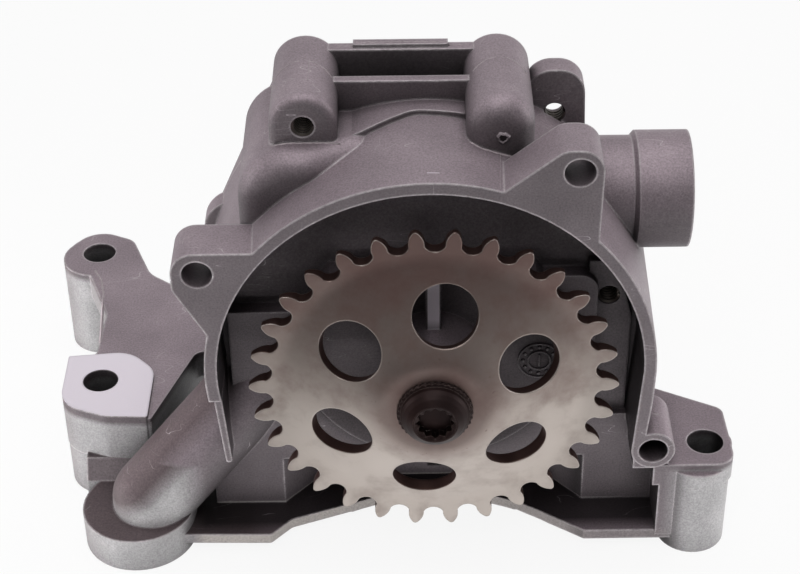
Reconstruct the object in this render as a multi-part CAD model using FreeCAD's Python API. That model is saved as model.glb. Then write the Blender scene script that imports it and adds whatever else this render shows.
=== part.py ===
import FreeCAD, Part
import math
import os

# Engine oil pump, sizes in millimetres.
# The origin is on the drive axis in the line of the chain. +Z points away from the mounting feet,
# -Y towards the sprocket and +X towards the intake stub.

vec = FreeCAD.Vector

# Chain drive
chain_pitch = 8.0
roller_diameter = 5.0
sprocket_teeth = 30
tooth_thickness = 3.0
tooth_height = 2.23
tooth_tip_width = 1.3
tooth_tip_crown = 0.35
tooth_tip_thickness = 1.3
tooth_middle_width = 2.77
tooth_taper_reach = 0.87
first_tooth_angle = 95.6
rim_band = 4.67
rim_blend = 9.0
hub_blend = 5.0
hub_face_radius = 12.1
hub_forward = 8.9
lightening_holes = 6
lightening_hole_radius = 7.15
lightening_hole_circle = 22.5
lightening_hole_turn = 84.0
sprocket_bore_radius = 4.2

# Drive shaft and the bolt that holds the sprocket on it
shaft_radius = 6.0
shaft_end_gap = 0.3
shaft_chamfer = 1.0
shaft_running_gap = 0.03
sprocket_bolt_radius = 4.0
sprocket_bolt_length = 26.0
bolt_flange_radius = 7.4
bolt_flange_height = 3.0
bolt_crown_radius = 5.0
bolt_crown_height = 1.6
bolt_socket_radius = 4.0
bolt_socket_depth = 3.2
drive_pin_radius = 1.5
drive_pin_circle = 8.3
drive_pin_length = 4.1
drive_pin_cover = 0.9
drive_pin_end_gap = 0.05
shaft_flange_radius = 10.4
shaft_flange_height = 2.2

# Pump gears
gear_teeth = 11
gear_module = 2.75
gear_width = 22.8
gear_side_gap = 0.1
gear_tip_gap = 0.12
gear_backlash = 0.35
idler_direction = 130.0
gear_key_width = 3.0
gear_key_length = 10.0
gear_key_height = 3.0
gear_key_fit = 0.02

# Bushes
bush_wall = 1.5
bush_fit = 0.02
front_bush_length = 24.0
rear_bush_length = 12.0

# Chain guard of the housing
guard_centre_x = -0.7
guard_centre_z = 2.0
guard_inner_radius = 47.1
guard_wall = 2.8
guard_front = 0.0
drum_draft = 1.4
left_limb_end = -5.0
left_skirt_end = -24.7
left_skirt_wall = 1.9
left_skirt_setback = 2.4
right_limb_end = -21.0

# Housing depth back from the chain line; the joint with the cover follows from the gears
block_front = 13.0
wall_front = 17.0
chamber_front = 22.0

# Bearing boss and pad behind the sprocket
pad_radius = 31.0
pad_front = 11.0
bearing_boss_radius = 11.5
bearing_boss_front = -4.2
pad_rib_width = 3.2
pad_rib_front = 4.0
block_left = -46.0
block_right = 36.8
right_shoulder_x = 46.0
right_shoulder_z = -20.5
block_top_left = 10.0
block_top_right = 19.0
block_step_x = -8.0
block_corner = 4.0

# Mounting feet
foot_level = -52.0
leg_top = -26.5
leg_hole_radius = 4.25
right_leg_x = 63.4
right_leg_y = 9.5
front_left_leg_x = -80.4
front_left_leg_y = 34.5
rear_left_leg_x = -87.5
rear_left_leg_y = 90.3
leg_foot_radius = 8.9
rear_foot_radius = 8.7
right_foot_radius = 8.0
leg_bore_wall = 4.0
web_thickness = 7.5
pad_rise = 0.8
pad_block_height = 13.0

# Base plate
base_bottom = -49.2
base_thickness = 2.6
base_front = 1.5
base_left = -52.0
base_right = 54.0
base_wall = 3.5
notch_radius = 44.0
notch_depth = 16.5
recess_side = 35.5
recess_middle = 27.0
recess_depth = 9.5
hollow_top = -31.0
recess_top = -33.0

# Outlet foot and its channel
outlet_x = -70.0
outlet_y = 9.0
outlet_foot_radius = 13.2
outlet_foot_height = 9.0
outlet_mouth_radius = 7.0
channel_radius = 9.8
channel_heel = 5.4
channel_bore_radius = 6.2
channel_start_z = -45.0
channel_end_x = -24.0
channel_end_y = 27.0
channel_end_z = 2.0
outlet_port_offset = 14.7
outlet_pocket_radius = 7.5

# Intake stub
intake_y = 31.0
intake_z = 30.1
intake_neck_radius = 12.15
intake_collar_radius = 13.25
intake_bore_radius = 9.5
intake_socket_radius = 10.5
intake_socket_depth = 14.0
intake_collar_start = 45.6
intake_end = 57.5
intake_inner_end = 4.0
intake_port_offset = 13.5
intake_pocket_radius = 8.0

# Front lugs with the holes for the chain cover
lug_depth = 11.5
lug_hole_radius = 3.3
left_lug_x = -50.3
left_lug_z = 29.6
right_lug_x = 30.2
right_lug_z = 54.0
low_lug_x = 49.9
low_lug_z = -21.0
low_lug_radius = 5.0
low_lug_length = 16.0
low_lug_rounding = 2.5
low_lug_hole_depth = 13.0
lug_edge = 5.2

# Cover screws, their places and their bosses
top_left_screw_x = -30.0
top_left_screw_z = 44.5
top_right_screw_x = 12.0
top_right_screw_z = 45.5
right_screw_x = 31.0
right_screw_z = 10.5
low_right_screw_x = 26.5
low_right_screw_z = -16.0
bottom_screw_x = -9.5
bottom_screw_z = -24.0
low_left_screw_x = -44.6
low_left_screw_z = -14.0
side_screw_z = 11.0
screw_radius = 3.0
screw_core_radius = 2.5
screw_clearance = 0.3
screw_head_radius = 5.0
screw_head_height = 4.0
screw_socket_flats = 5.0
screw_socket_depth = 2.2
screw_grip = 13.0
tapped_hole_depth = 15.0
top_boss_radius = 7.3
top_boss_z = 55.0
top_boss_left_x = -27.5
top_boss_right_x = 14.7
top_boss_left_front = 18.0
top_boss_right_front = 15.0
top_boss_hole_depth = 22.0
top_boss_foot = 40.0
left_boss_rounding = 1.8
right_boss_rounding = 4.5
side_boss_radius = 8.0
side_boss_x = -44.8
side_boss_z = 14.3
side_boss_front = 39.8

# Ribs between the top bosses
rib_thickness = 2.4
middle_rib_y = 31.0
middle_rib_top = 58.5
rear_rib_top = 60.3
rear_strip_rise = 0.9
rear_strip_left = -17.0
rear_strip_right = 4.0
rib_pocket_floor = 46.5
rib_pocket_gap = 0.6
rear_rib_extra = 0.8
ledge_front = 26.5
ledge_rise = 2.0

# Upper left bulge of the gear case
bulge_left = -42.0
bulge_top = 51.2
bulge_bottom = 20.0
bulge_right = -8.0
bulge_front = 11.3
bulge_turn_x = -26.1
bulge_slope_x = -13.0
bulge_slope_y = 17.0
bulge_corner = 12.0
bulge_edge = 5.0

# Tapped lugs beside the gear case
tapped_radius = 2.5
rear_lug_x = 27.8
rear_lug_z = 45.2
rear_lug_radius = 6.5
rear_lug_thickness = 5.7
rear_lug_rise = 4.3
ear_x = 39.5
ear_z = 12.2
ear_front = 15.0
ear_hole_depth = 16.0

# Rear cover
cover_thickness = 6.0
cover_edge = 6.6
cover_boss_radius = 10.5
cover_boss_height = 7.0
idler_boss_radius = 9.5
idler_boss_height = 3.0
cover_rib_width = 2.8
cover_rib_height = 4.0
upper_rib_end = 40.0
right_rib_end = 28.0
idler_shaft_grip = 6.0
idler_shaft_front_grip = 4.0
dowel_radius = 2.5
dowel_length = 12.0
dowel_end_gap = 0.3
dowel_fit = 0.02
low_dowel_x = 10.0
low_dowel_z = -22.0
high_dowel_x = 17.5
high_dowel_z = 39.5

# Relief valve in the cover
relief_x = -30.0
relief_depth = 9.0
relief_bore_radius = 5.05
relief_body_radius = 8.5
relief_seat_radius = 4.0
relief_top = 11.0
relief_seat_z = -3.7
relief_bottom = -34.0
relief_port_radius = 2.2
relief_port_x = -27.0
relief_port_z = 2.0
spill_radius = 2.2
spill_drop = 5.5
relief_top_rounding = 3.0
relief_top_wall = 4.0
piston_gap = 0.05
piston_chamfer = 0.6
piston_length = 14.0
piston_wall = 1.2
piston_crown = 3.0
piston_seat_gap = 0.05
spring_wire_radius = 0.6
spring_coil_radius = 2.9
spring_turns = 6
spring_end_gap = 0.1
plug_thread_radius = 6.0
plug_thread_length = 8.0
plug_flats = 17.0
plug_head_height = 6.0
plug_socket_flats = 6.0
washer_thickness = 1.5
washer_radius = 9.2

# Seals
outlet_wire_radius = 1.2
intake_wire_radius = 0.85
ring_groove_gap = 0.3
ring_land = 1.2
intake_ring_setback = 5.0
intake_groove_depth = 1.85

# Fixed sizes worked out from the ones above
sprocket_pitch_radius = chain_pitch / (2 * math.sin(math.pi / sprocket_teeth))
tooth_tip_radius = sprocket_pitch_radius + tooth_height
rim_inner_radius = sprocket_pitch_radius - rim_band
rim_front = -tooth_thickness / 2
rim_back = tooth_thickness / 2
hub_front = rim_front - hub_forward
hub_back = hub_front + tooth_thickness
guard_outer_radius = guard_inner_radius + guard_wall
gear_pitch_radius = gear_module * gear_teeth / 2
gear_tip_radius = gear_pitch_radius + gear_module
gear_root_radius = gear_pitch_radius - 1.25 * gear_module
idler_x = 2 * gear_pitch_radius * math.cos(math.radians(idler_direction))
idler_z = 2 * gear_pitch_radius * math.sin(math.radians(idler_direction))
chamber_radius = gear_tip_radius + gear_tip_gap
bush_outer_radius = shaft_radius + shaft_running_gap + bush_wall
case_rear = chamber_front + gear_width + 2 * gear_side_gap
cover_rear = case_rear + cover_thickness
relief_y = case_rear + relief_depth
outlet_foot_top = foot_level + outlet_foot_height
notch_centre_y = notch_depth - notch_radius
port_line_x = math.sin(math.radians(idler_direction))
port_line_z = -math.cos(math.radians(idler_direction))
intake_pocket_x = idler_x / 2 + intake_port_offset * port_line_x
intake_pocket_z = idler_z / 2 + intake_port_offset * port_line_z
outlet_pocket_x = idler_x / 2 - outlet_port_offset * port_line_x
outlet_pocket_z = idler_z / 2 - outlet_port_offset * port_line_z


# Shapes drawn from simple sketches

def block(x0, x1, y0, y1, z0, z1):
    return Part.makeBox(x1 - x0, y1 - y0, z1 - z0, vec(x0, y0, z0))


def rod(radius, start, end):
    return Part.makeCylinder(radius, (end - start).Length, start, end - start)


def rod_x(radius, y, z, x0, x1):
    return rod(radius, vec(x0, y, z), vec(x1, y, z))


def rod_y(radius, x, z, y0, y1):
    return rod(radius, vec(x, y0, z), vec(x, y1, z))


def rod_z(radius, x, y, z0, z1):
    return rod(radius, vec(x, y, z0), vec(x, y, z1))


def rounded_outline(corners, place):
    # Each corner is two coordinates and a rounding radius
    edges = []
    starts = []
    ends = []
    middles = []
    count = len(corners)
    for i, (u, v, radius) in enumerate(corners):
        here = vec(u, v, 0)
        before = vec(corners[i - 1][0], corners[i - 1][1], 0) - here
        after = vec(corners[(i + 1) % count][0], corners[(i + 1) % count][1], 0) - here
        before.normalize()
        after.normalize()
        half = before.getAngle(after) / 2
        reach = radius / math.tan(half)
        starts.append(here + before * reach)
        ends.append(here + after * reach)
        inward = before + after
        inward.normalize()
        middles.append(here + inward * (radius / math.sin(half) - radius))
    for i, (u, v, radius) in enumerate(corners):
        if radius > 0:
            edges.append(Part.Arc(place(starts[i]), place(middles[i]), place(ends[i])).toShape())
        following = (i + 1) % count
        if (starts[following] - ends[i]).Length > 1e-6:
            edges.append(Part.makeLine(place(ends[i]), place(starts[following])))
    return Part.Face(Part.Wire(edges))


def slab_y(corners, y0, y1):
    # Corners are X, Z and a rounding radius
    face = rounded_outline(corners, lambda p: vec(p.x, y0, p.y))
    return face.extrude(vec(0, y1 - y0, 0))


def slab_x(corners, x0, x1):
    # Corners are Y, Z and a rounding radius
    face = rounded_outline(corners, lambda p: vec(x0, p.x, p.y))
    return face.extrude(vec(x1 - x0, 0, 0))


def slab_z(corners, z0, z1):
    # Corners are X, Y and a rounding radius
    face = rounded_outline(corners, lambda p: vec(p.x, p.y, z0))
    return face.extrude(vec(0, 0, z1 - z0))


def turned_y(profile, x=0.0, z=0.0):
    # The profile is radius and Y, turned round an axis along Y
    points = [vec(x + radius, y, z) for radius, y in profile]
    face = Part.Face(Part.makePolygon(points + [points[0]]))
    return face.revolve(vec(x, 0, z), vec(0, 1, 0), 360)


def turned_z(profile, x, y):
    # The profile is radius and Z, turned round an axis along Z
    points = [vec(x + radius, y, z) for radius, z in profile]
    face = Part.Face(Part.makePolygon(points + [points[0]]))
    return face.revolve(vec(x, y, 0), vec(0, 0, 1), 360)


def hexagon_y(flats, x, z, y0, y1):
    points = []
    for i in range(6):
        angle = math.radians(60 * i + 30)
        reach = flats / 2 / math.cos(math.radians(30))
        points.append(vec(x + reach * math.cos(angle), y0, z + reach * math.sin(angle)))
    return Part.Face(Part.makePolygon(points + [points[0]])).extrude(vec(0, y1 - y0, 0))


def hexagon_z(flats, x, y, z0, z1):
    points = []
    for i in range(6):
        angle = math.radians(60 * i)
        reach = flats / 2 / math.cos(math.radians(30))
        points.append(vec(x + reach * math.cos(angle), y + reach * math.sin(angle), z0))
    return Part.Face(Part.makePolygon(points + [points[0]])).extrude(vec(0, 0, z1 - z0))


def fuse_all(shapes):
    return shapes[0].multiFuse(shapes[1:])


# Gears: each flank is an arc through three points of its involute

def involute_angle(radius, base_radius):
    if radius <= base_radius:
        return 0.0
    roll = math.sqrt((radius / base_radius) ** 2 - 1)
    return roll - math.atan(roll)


def gear_outline(centre_x, centre_z, y0, tooth_angle):
    pressure = math.radians(20)
    base_radius = gear_pitch_radius * math.cos(pressure)
    half_tooth = math.pi / (2 * gear_teeth) - gear_backlash / 2 / gear_pitch_radius
    at_pitch = involute_angle(gear_pitch_radius, base_radius)

    def flank_point(radius, centre, side):
        half = half_tooth + at_pitch - involute_angle(radius, base_radius)
        angle = centre + side * half
        return vec(centre_x + radius * math.cos(angle), y0, centre_z + radius * math.sin(angle))

    def round_point(radius, angle):
        return vec(centre_x + radius * math.cos(angle), y0, centre_z + radius * math.sin(angle))

    flank_bottom = gear_root_radius + 0.6
    flank_middle = (flank_bottom + gear_tip_radius) / 2
    step = 2 * math.pi / gear_teeth
    edges = []
    for i in range(gear_teeth):
        centre = math.radians(tooth_angle) + i * step
        bottom_right = flank_point(flank_bottom, centre, -1)
        top_right = flank_point(gear_tip_radius, centre, -1)
        top_left = flank_point(gear_tip_radius, centre, 1)
        bottom_left = flank_point(flank_bottom, centre, 1)
        next_bottom = flank_point(flank_bottom, centre + step, -1)
        edges.append(Part.Arc(bottom_right, flank_point(flank_middle, centre, -1), top_right).toShape())
        edges.append(Part.Arc(top_right, round_point(gear_tip_radius, centre), top_left).toShape())
        edges.append(Part.Arc(top_left, flank_point(flank_middle, centre, 1), bottom_left).toShape())
        root = round_point(gear_root_radius, centre + step / 2)
        edges.append(Part.Arc(bottom_left, root, next_bottom).toShape())
    return Part.Face(Part.Wire(edges))


def pump_gear(centre_x, centre_z, tooth_angle):
    start = chamber_front + gear_side_gap
    return gear_outline(centre_x, centre_z, start, tooth_angle).extrude(vec(0, gear_width, 0))


def gear_key(fit=0.0):
    middle = (chamber_front + case_rear) / 2
    half_width = gear_key_width / 2 + fit
    bottom = shaft_radius - gear_key_height / 2 - fit
    return block(-half_width, half_width, middle - gear_key_length / 2 - fit,
                 middle + gear_key_length / 2 + fit, bottom, bottom + gear_key_height + 2 * fit)


def make_drive_gear():
    gear = pump_gear(0, 0, idler_direction)
    bore = rod_y(shaft_radius + bush_fit, 0, 0, chamber_front, case_rear)
    keyway = gear_key(gear_key_fit)
    slot = block(-gear_key_width / 2 - gear_key_fit, gear_key_width / 2 + gear_key_fit,
                 chamber_front, case_rear, 0, keyway.BoundBox.ZMax)
    return gear.cut([bore, slot])


def make_idler_gear():
    gap_angle = idler_direction + 180 + 180.0 / gear_teeth
    gear = pump_gear(idler_x, idler_z, gap_angle)
    return gear.cut(rod_y(bush_outer_radius + bush_fit, idler_x, idler_z, chamber_front, case_rear))


def sleeve_y(x, z, y0, y1):
    inner = shaft_radius + shaft_running_gap
    return rod_y(bush_outer_radius, x, z, y0, y1).cut(rod_y(inner, x, z, y0 - 1, y1 + 1))


def make_idler_bush():
    start = chamber_front + gear_side_gap
    return sleeve_y(idler_x, idler_z, start, start + gear_width)


def make_front_bush():
    return sleeve_y(0, 0, chamber_front - front_bush_length, chamber_front)


def make_rear_bush():
    return sleeve_y(0, 0, case_rear, case_rear + rear_bush_length)


# Drive shaft line

def drive_pin_place(radius, y0, y1):
    return rod_y(radius, drive_pin_circle, 0, y0, y1)


def make_drive_shaft():
    flange_back = hub_back + shaft_flange_height
    shaft_end = case_rear + rear_bush_length - shaft_end_gap
    profile = [(0, hub_back), (shaft_flange_radius, hub_back), (shaft_flange_radius, flange_back),
               (shaft_radius, flange_back), (shaft_radius, shaft_end - shaft_chamfer),
               (shaft_radius - shaft_chamfer, shaft_end), (0, shaft_end)]
    shaft = turned_y(profile)
    hole_end = hub_front + sprocket_bolt_length + 2 * shaft_chamfer
    bolt_hole = rod_y(sprocket_bolt_radius + bush_fit, 0, 0, hub_back, hole_end)
    pin_hole = drive_pin_place(drive_pin_radius + bush_fit, hub_back, flange_back)
    return shaft.cut([bolt_hole, pin_hole, gear_key(gear_key_fit)])


def make_drive_pin():
    start = hub_front + drive_pin_cover + drive_pin_end_gap
    return drive_pin_place(drive_pin_radius, start, start + drive_pin_length)


def make_sprocket_bolt():
    top = hub_front - bolt_flange_height - bolt_crown_height
    flange_top = hub_front - bolt_flange_height
    profile = [(0, top), (bolt_crown_radius, top), (bolt_flange_radius, flange_top),
               (bolt_flange_radius, hub_front), (sprocket_bolt_radius, hub_front),
               (sprocket_bolt_radius, hub_front + sprocket_bolt_length),
               (0, hub_front + sprocket_bolt_length)]
    bolt = turned_y(profile)
    socket = rod_y(bolt_socket_radius * 0.78, 0, 0, top, top + bolt_socket_depth)
    lobes = [socket]
    for i in range(6):
        angle = math.radians(60 * i)
        reach = bolt_socket_radius * 0.72
        lobes.append(rod_y(bolt_socket_radius * 0.28, reach * math.cos(angle), reach * math.sin(angle),
                           top, top + bolt_socket_depth))
    return bolt.cut(lobes)


def sprocket_outline(y0):
    seat = roller_diameter / 2
    step = 2 * math.pi / sprocket_teeth
    tip_half = tooth_tip_width / 2 / tooth_tip_radius
    middle_radius = sprocket_pitch_radius + tooth_height / 2
    middle_half = tooth_middle_width / 2 / middle_radius
    edges = []

    def at(radius, angle):
        return vec(radius * math.cos(angle), y0, radius * math.sin(angle))

    def seat_point(gap_angle, turn):
        middle = at(sprocket_pitch_radius, gap_angle)
        spoke = gap_angle + math.pi + turn
        return middle + vec(seat * math.cos(spoke), 0, seat * math.sin(spoke))

    seat_half = math.radians(62)
    for i in range(sprocket_teeth):
        tip = math.radians(first_tooth_angle) + i * step
        gap = tip + step / 2
        next_tip = tip + step
        rise_start = at(tooth_tip_radius, tip + tip_half)
        seat_start = seat_point(gap, seat_half)
        seat_end = seat_point(gap, -seat_half)
        rise_end = at(tooth_tip_radius, next_tip - tip_half)
        down_middle = at(middle_radius, tip + middle_half)
        up_middle = at(middle_radius, next_tip - middle_half)
        crown = at(tooth_tip_radius + tooth_tip_crown, next_tip)
        next_rise = at(tooth_tip_radius, next_tip + tip_half)
        edges.append(Part.Arc(rise_start, down_middle, seat_start).toShape())
        edges.append(Part.Arc(seat_start, seat_point(gap, 0), seat_end).toShape())
        edges.append(Part.Arc(seat_end, up_middle, rise_end).toShape())
        edges.append(Part.Arc(rise_end, crown, next_rise).toShape())
    return Part.Face(Part.Wire(edges))


def round_edges(shape, radius, y):
    # Edges that run round the drive axis at one radius and one depth
    return [edge for edge in shape.Edges
            if abs(edge.BoundBox.XMax - radius) < 0.05 and abs(edge.BoundBox.YMin - y) < 0.01
            and abs(edge.BoundBox.YMax - y) < 0.01]


def sprocket_dish():
    # A flat plate pressed forwards in the middle, with soft bends at the rim and the hub
    outer = tooth_tip_radius + 2 * tooth_tip_crown
    dish = turned_y([(sprocket_bore_radius, hub_front), (hub_face_radius, hub_front),
                     (rim_inner_radius, rim_front), (outer, rim_front),
                     (outer, rim_front + tooth_tip_thickness),
                     (sprocket_pitch_radius - tooth_taper_reach, rim_back), (rim_inner_radius, rim_back),
                     (hub_face_radius, hub_back), (sprocket_bore_radius, hub_back)])
    bends = [(rim_blend, rim_inner_radius, rim_front), (rim_blend, rim_inner_radius, rim_back),
             (hub_blend, hub_face_radius, hub_front), (hub_blend, hub_face_radius, hub_back)]
    for blend, radius, y in bends:
        dish = dish.makeFillet(blend, round_edges(dish, radius, y))
    return dish


def make_sprocket():
    depth = rim_back - hub_front
    toothed = sprocket_outline(hub_front).extrude(vec(0, depth, 0))
    plate = toothed.common(sprocket_dish())
    slope = math.atan2(hub_forward, rim_inner_radius - hub_face_radius)
    holes = []
    for i in range(lightening_holes):
        angle = math.radians(lightening_hole_turn + 60 * i)
        out = vec(math.cos(angle), 0, math.sin(angle))
        hole_y = rim_front - (rim_inner_radius - lightening_hole_circle) * math.tan(slope)
        middle = out * lightening_hole_circle + vec(0, hole_y, 0)
        square_on = vec(0, math.cos(slope), 0) - out * math.sin(slope)
        holes.append(rod(lightening_hole_radius, middle - square_on * tooth_thickness,
                         middle + square_on * 3 * tooth_thickness))
    holes.append(drive_pin_place(drive_pin_radius + bush_fit, hub_front + drive_pin_cover, hub_back))
    return plate.cut(holes)


def make_idler_shaft():
    start = chamber_front - idler_shaft_front_grip
    return rod_y(shaft_radius, idler_x, idler_z, start, case_rear + idler_shaft_grip)


# Housing

def drum_solid(y0, y1):
    # The casting widens evenly from the front rim to the cover joint
    growth = drum_draft / (case_rear - guard_front)
    return Part.makeCone(guard_outer_radius + growth * (y0 - guard_front),
                         guard_outer_radius + growth * (y1 - guard_front), y1 - y0,
                         vec(guard_centre_x, y0, guard_centre_z), vec(0, 1, 0))


def guard_ring(y0, y1):
    return drum_solid(y0, y1).cut(rod_y(guard_inner_radius, guard_centre_x, guard_centre_z, y0 - 1, y1 + 1))


def make_guard():
    ring = guard_ring(guard_front, wall_front)
    reach = guard_outer_radius + 5
    arch = ring.common(block(-reach, reach, guard_front, wall_front, guard_centre_z, reach + 5))
    left_low = ring.common(block(-reach, 0, guard_front, wall_front, left_limb_end, guard_centre_z))
    left_x = guard_centre_x - guard_outer_radius
    skirt_top = left_limb_end + 3
    left_skirt = slab_y([(left_x + 0.9, skirt_top, 0), (left_x + 0.9 + left_skirt_wall, skirt_top, 0),
                         (left_x + 4.4, left_skirt_end, 0.6), (left_x + 3.0, left_skirt_end, 0.6)],
                        guard_front + left_skirt_setback, wall_front + 4)
    right_x = guard_centre_x + guard_outer_radius
    right_limb = slab_y([(right_x - guard_wall, guard_centre_z, 0), (right_x, guard_centre_z, 0),
                         (right_x - 0.3, right_limb_end / 3, 0), (right_x - 1.6, right_limb_end, 0),
                         (low_lug_x - low_lug_radius, right_limb_end, 0)], guard_front, wall_front + 4)
    return [arch, left_low, left_skirt, right_limb]


def make_lugs():
    left_lug = slab_y([(left_lug_x - lug_edge - 0.5, left_lug_z + lug_edge, lug_edge),
                       (-35.0, left_lug_z + lug_edge, 0), (-42.5, 17.0, 0), (-47.5, 12.5, 0),
                       (-48.8, 12.5, 0.5), (left_lug_x - lug_edge - 0.5, left_lug_z - 4, 4)],
                      guard_front, guard_front + lug_depth)
    right_lug = slab_y([(13.5, 48.6, 0), (right_lug_x - 3.4, right_lug_z + lug_edge, 5),
                        (right_lug_x + lug_edge, right_lug_z + lug_edge, lug_edge),
                        (right_lug_x + lug_edge - 0.5, 35.5, 0), (30, 34, 0)],
                       guard_front, guard_front + lug_depth)
    lug_rear = guard_front + low_lug_length
    low_lug = rod_y(low_lug_radius, low_lug_x, low_lug_z, guard_front, lug_rear)
    rear_rim = [edge for edge in low_lug.Edges if edge.BoundBox.YMin > lug_rear - 0.01]
    low_lug = low_lug.makeFillet(low_lug_rounding, rear_rim)
    low_web = block(low_lug_x - low_lug_radius + 0.8, low_lug_x + 4, guard_front + 1.6,
                    lug_rear - low_lug_rounding, leg_top - 1, low_lug_z)
    inside = rod_y(guard_inner_radius, guard_centre_x, guard_centre_z, guard_front - 1,
                   guard_front + lug_depth + 1)
    return [left_lug.cut(inside), right_lug.cut(inside), low_lug, low_web]


def make_gear_case():
    reach = guard_outer_radius + 5
    drum = drum_solid(wall_front, case_rear)
    drum = drum.common(block(-reach, reach, wall_front, case_rear, hollow_top, reach + 5))
    side = guard_outer_radius + guard_centre_x
    lower_left = slab_y([(-side - 1.4, 0, 0), (-30, 0, 0), (-30, hollow_top - 1, 0),
                         (-side - 0.6, hollow_top - 1, 0)], wall_front, case_rear)
    lower_right = slab_y([(30, 0, 0), (side, 0, 0), (side + 0.6, hollow_top - 1, 0), (30, hollow_top - 1, 0)],
                         wall_front, case_rear)
    return [drum, lower_left, lower_right]


def make_bulge():
    # Its front turns back to the right, where the drum's round surface takes over
    bulge = slab_z([(bulge_left, case_rear, 0), (bulge_left, bulge_front, 0), (bulge_turn_x, bulge_front, 8),
                    (bulge_slope_x, bulge_slope_y, 6), (bulge_right, middle_rib_y, 0),
                    (bulge_right, case_rear, 0)], bulge_bottom, bulge_top)
    corner = [edge for edge in bulge.Edges
              if edge.BoundBox.XMax < bulge_left + 0.01 and edge.BoundBox.ZMin > bulge_top - 0.01]
    bulge = bulge.makeFillet(bulge_corner, corner)
    rims = []
    for edge in bulge.Edges:
        box = edge.BoundBox
        on_front = box.YMax < bulge_front + 0.01 and box.ZMax > bulge_bottom + 1 and box.XMax < bulge_turn_x
        upright = box.ZMax - box.ZMin > 1 and box.XMax > bulge_left + bulge_corner + 1
        on_top = box.ZMin > bulge_top - 0.01 and box.YMax < middle_rib_y + 0.01
        if on_top or (on_front and not upright):
            rims.append(edge)
    bulge = bulge.makeFillet(bulge_edge, rims)
    return bulge.cut(rod_y(guard_inner_radius, guard_centre_x, guard_centre_z, guard_front, wall_front))


def top_boss(x, front, rounding):
    # Round on top with straight sides down to the drum, and rounded at the front
    radius = top_boss_radius
    boss = slab_y([(x - radius, top_boss_foot, 0), (x + radius, top_boss_foot, 0),
                   (x + radius, top_boss_z + radius, radius), (x - radius, top_boss_z + radius, radius)],
                  front, case_rear)
    rims = [edge for edge in boss.Edges
            if edge.BoundBox.YMax < front + 0.01 and edge.BoundBox.ZMax > top_boss_foot + 1]
    return boss.makeFillet(rounding, rims)


def make_top_bosses():
    left = top_boss(top_boss_left_x, top_boss_left_front, left_boss_rounding)
    right = top_boss(top_boss_right_x, top_boss_right_front, right_boss_rounding)
    right = right.cut(rod_y(guard_inner_radius, guard_centre_x, guard_centre_z, guard_front, wall_front))
    rear_front = case_rear - rib_thickness - rear_rib_extra
    middle_rib = block(top_boss_left_x, top_boss_right_x, middle_rib_y, middle_rib_y + rib_thickness,
                       top_boss_foot, middle_rib_top)
    rear_rib = block(top_boss_left_x, top_boss_right_x, rear_front, case_rear, top_boss_foot, rear_rib_top)
    strip = block(rear_strip_left, rear_strip_right, case_rear - rib_thickness, case_rear, top_boss_foot,
                  rear_rib_top + rear_strip_rise)
    return [left, right, middle_rib, rear_rib, strip, make_ledge()]


def make_ledge():
    # A raised strip on the drum in front of the middle rib
    strip = slab_z([(top_boss_left_x, ledge_front - 8, 0), (-15.0, ledge_front - 5.5, 6),
                    (-4.0, ledge_front, 6), (top_boss_right_x, ledge_front - 1.5, 0),
                    (top_boss_right_x, middle_rib_y + 1, 0), (top_boss_left_x, middle_rib_y + 1, 0)],
                   top_boss_foot, middle_rib_top)
    return strip.common(rod_y(guard_outer_radius + ledge_rise, guard_centre_x, guard_centre_z, bulge_front,
                              case_rear))


def make_side_bosses():
    side = rod_y(side_boss_radius, side_boss_x, side_boss_z, side_boss_front, case_rear)
    rear_front = case_rear - rear_lug_thickness
    left, right = rear_lug_x - rear_lug_radius, rear_lug_x + rear_lug_radius
    top = rear_lug_z + rear_lug_rise + rear_lug_radius
    rear_lug = slab_y([(left, 38, 0), (right + 0.8, 32, 0), (right, top, rear_lug_radius * 0.9),
                       (left, top, rear_lug_radius * 0.9)], rear_front, case_rear)
    return [side, rear_lug]


def make_back_wall():
    block_face = slab_y([(block_left, base_bottom, 0), (right_shoulder_x, base_bottom, 0),
                         (right_shoulder_x, right_shoulder_z, 0), (block_right, right_shoulder_z, 0),
                         (block_right, block_top_right, block_corner), (block_step_x, block_top_right, 0),
                         (block_step_x, block_top_left, 0), (block_left, block_top_left, 0)],
                        block_front, chamber_front)
    ear = slab_y([(block_right - 2, right_shoulder_z - 1, 0), (44.6, right_shoulder_z - 1, 0), (44.9, 6, 0),
                  (42.0, 17.5, 2), (38.2, 21.5, 2), (block_right - 2, 21.5, 0)], ear_front, chamber_front)
    pad = rod_y(pad_radius, 0, 0, pad_front, chamber_front)
    pad = pad.common(block(-pad_radius, pad_radius, pad_front, chamber_front, -pad_radius,
                           block_top_right + 2))
    boss = rod_y(bearing_boss_radius, 0, 0, bearing_boss_front, chamber_front)
    rib = block(-pad_rib_width / 2, pad_rib_width / 2, pad_rib_front, pad_front + 1, -pad_radius + 3,
                pad_radius - 3)
    low_wall = block(base_left, base_right, block_front, block_front + recess_depth + base_wall,
                     base_bottom, hollow_top)
    inside = rod_y(guard_inner_radius + 1, guard_centre_x, guard_centre_z, block_front - 1, chamber_front)
    keep = fuse_all([inside, block(base_left, base_right, block_front - 1, chamber_front, base_bottom, 0)])
    faces = fuse_all([block_face, ear]).common(keep)
    return [faces, pad, boss, rib, low_wall]


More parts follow.
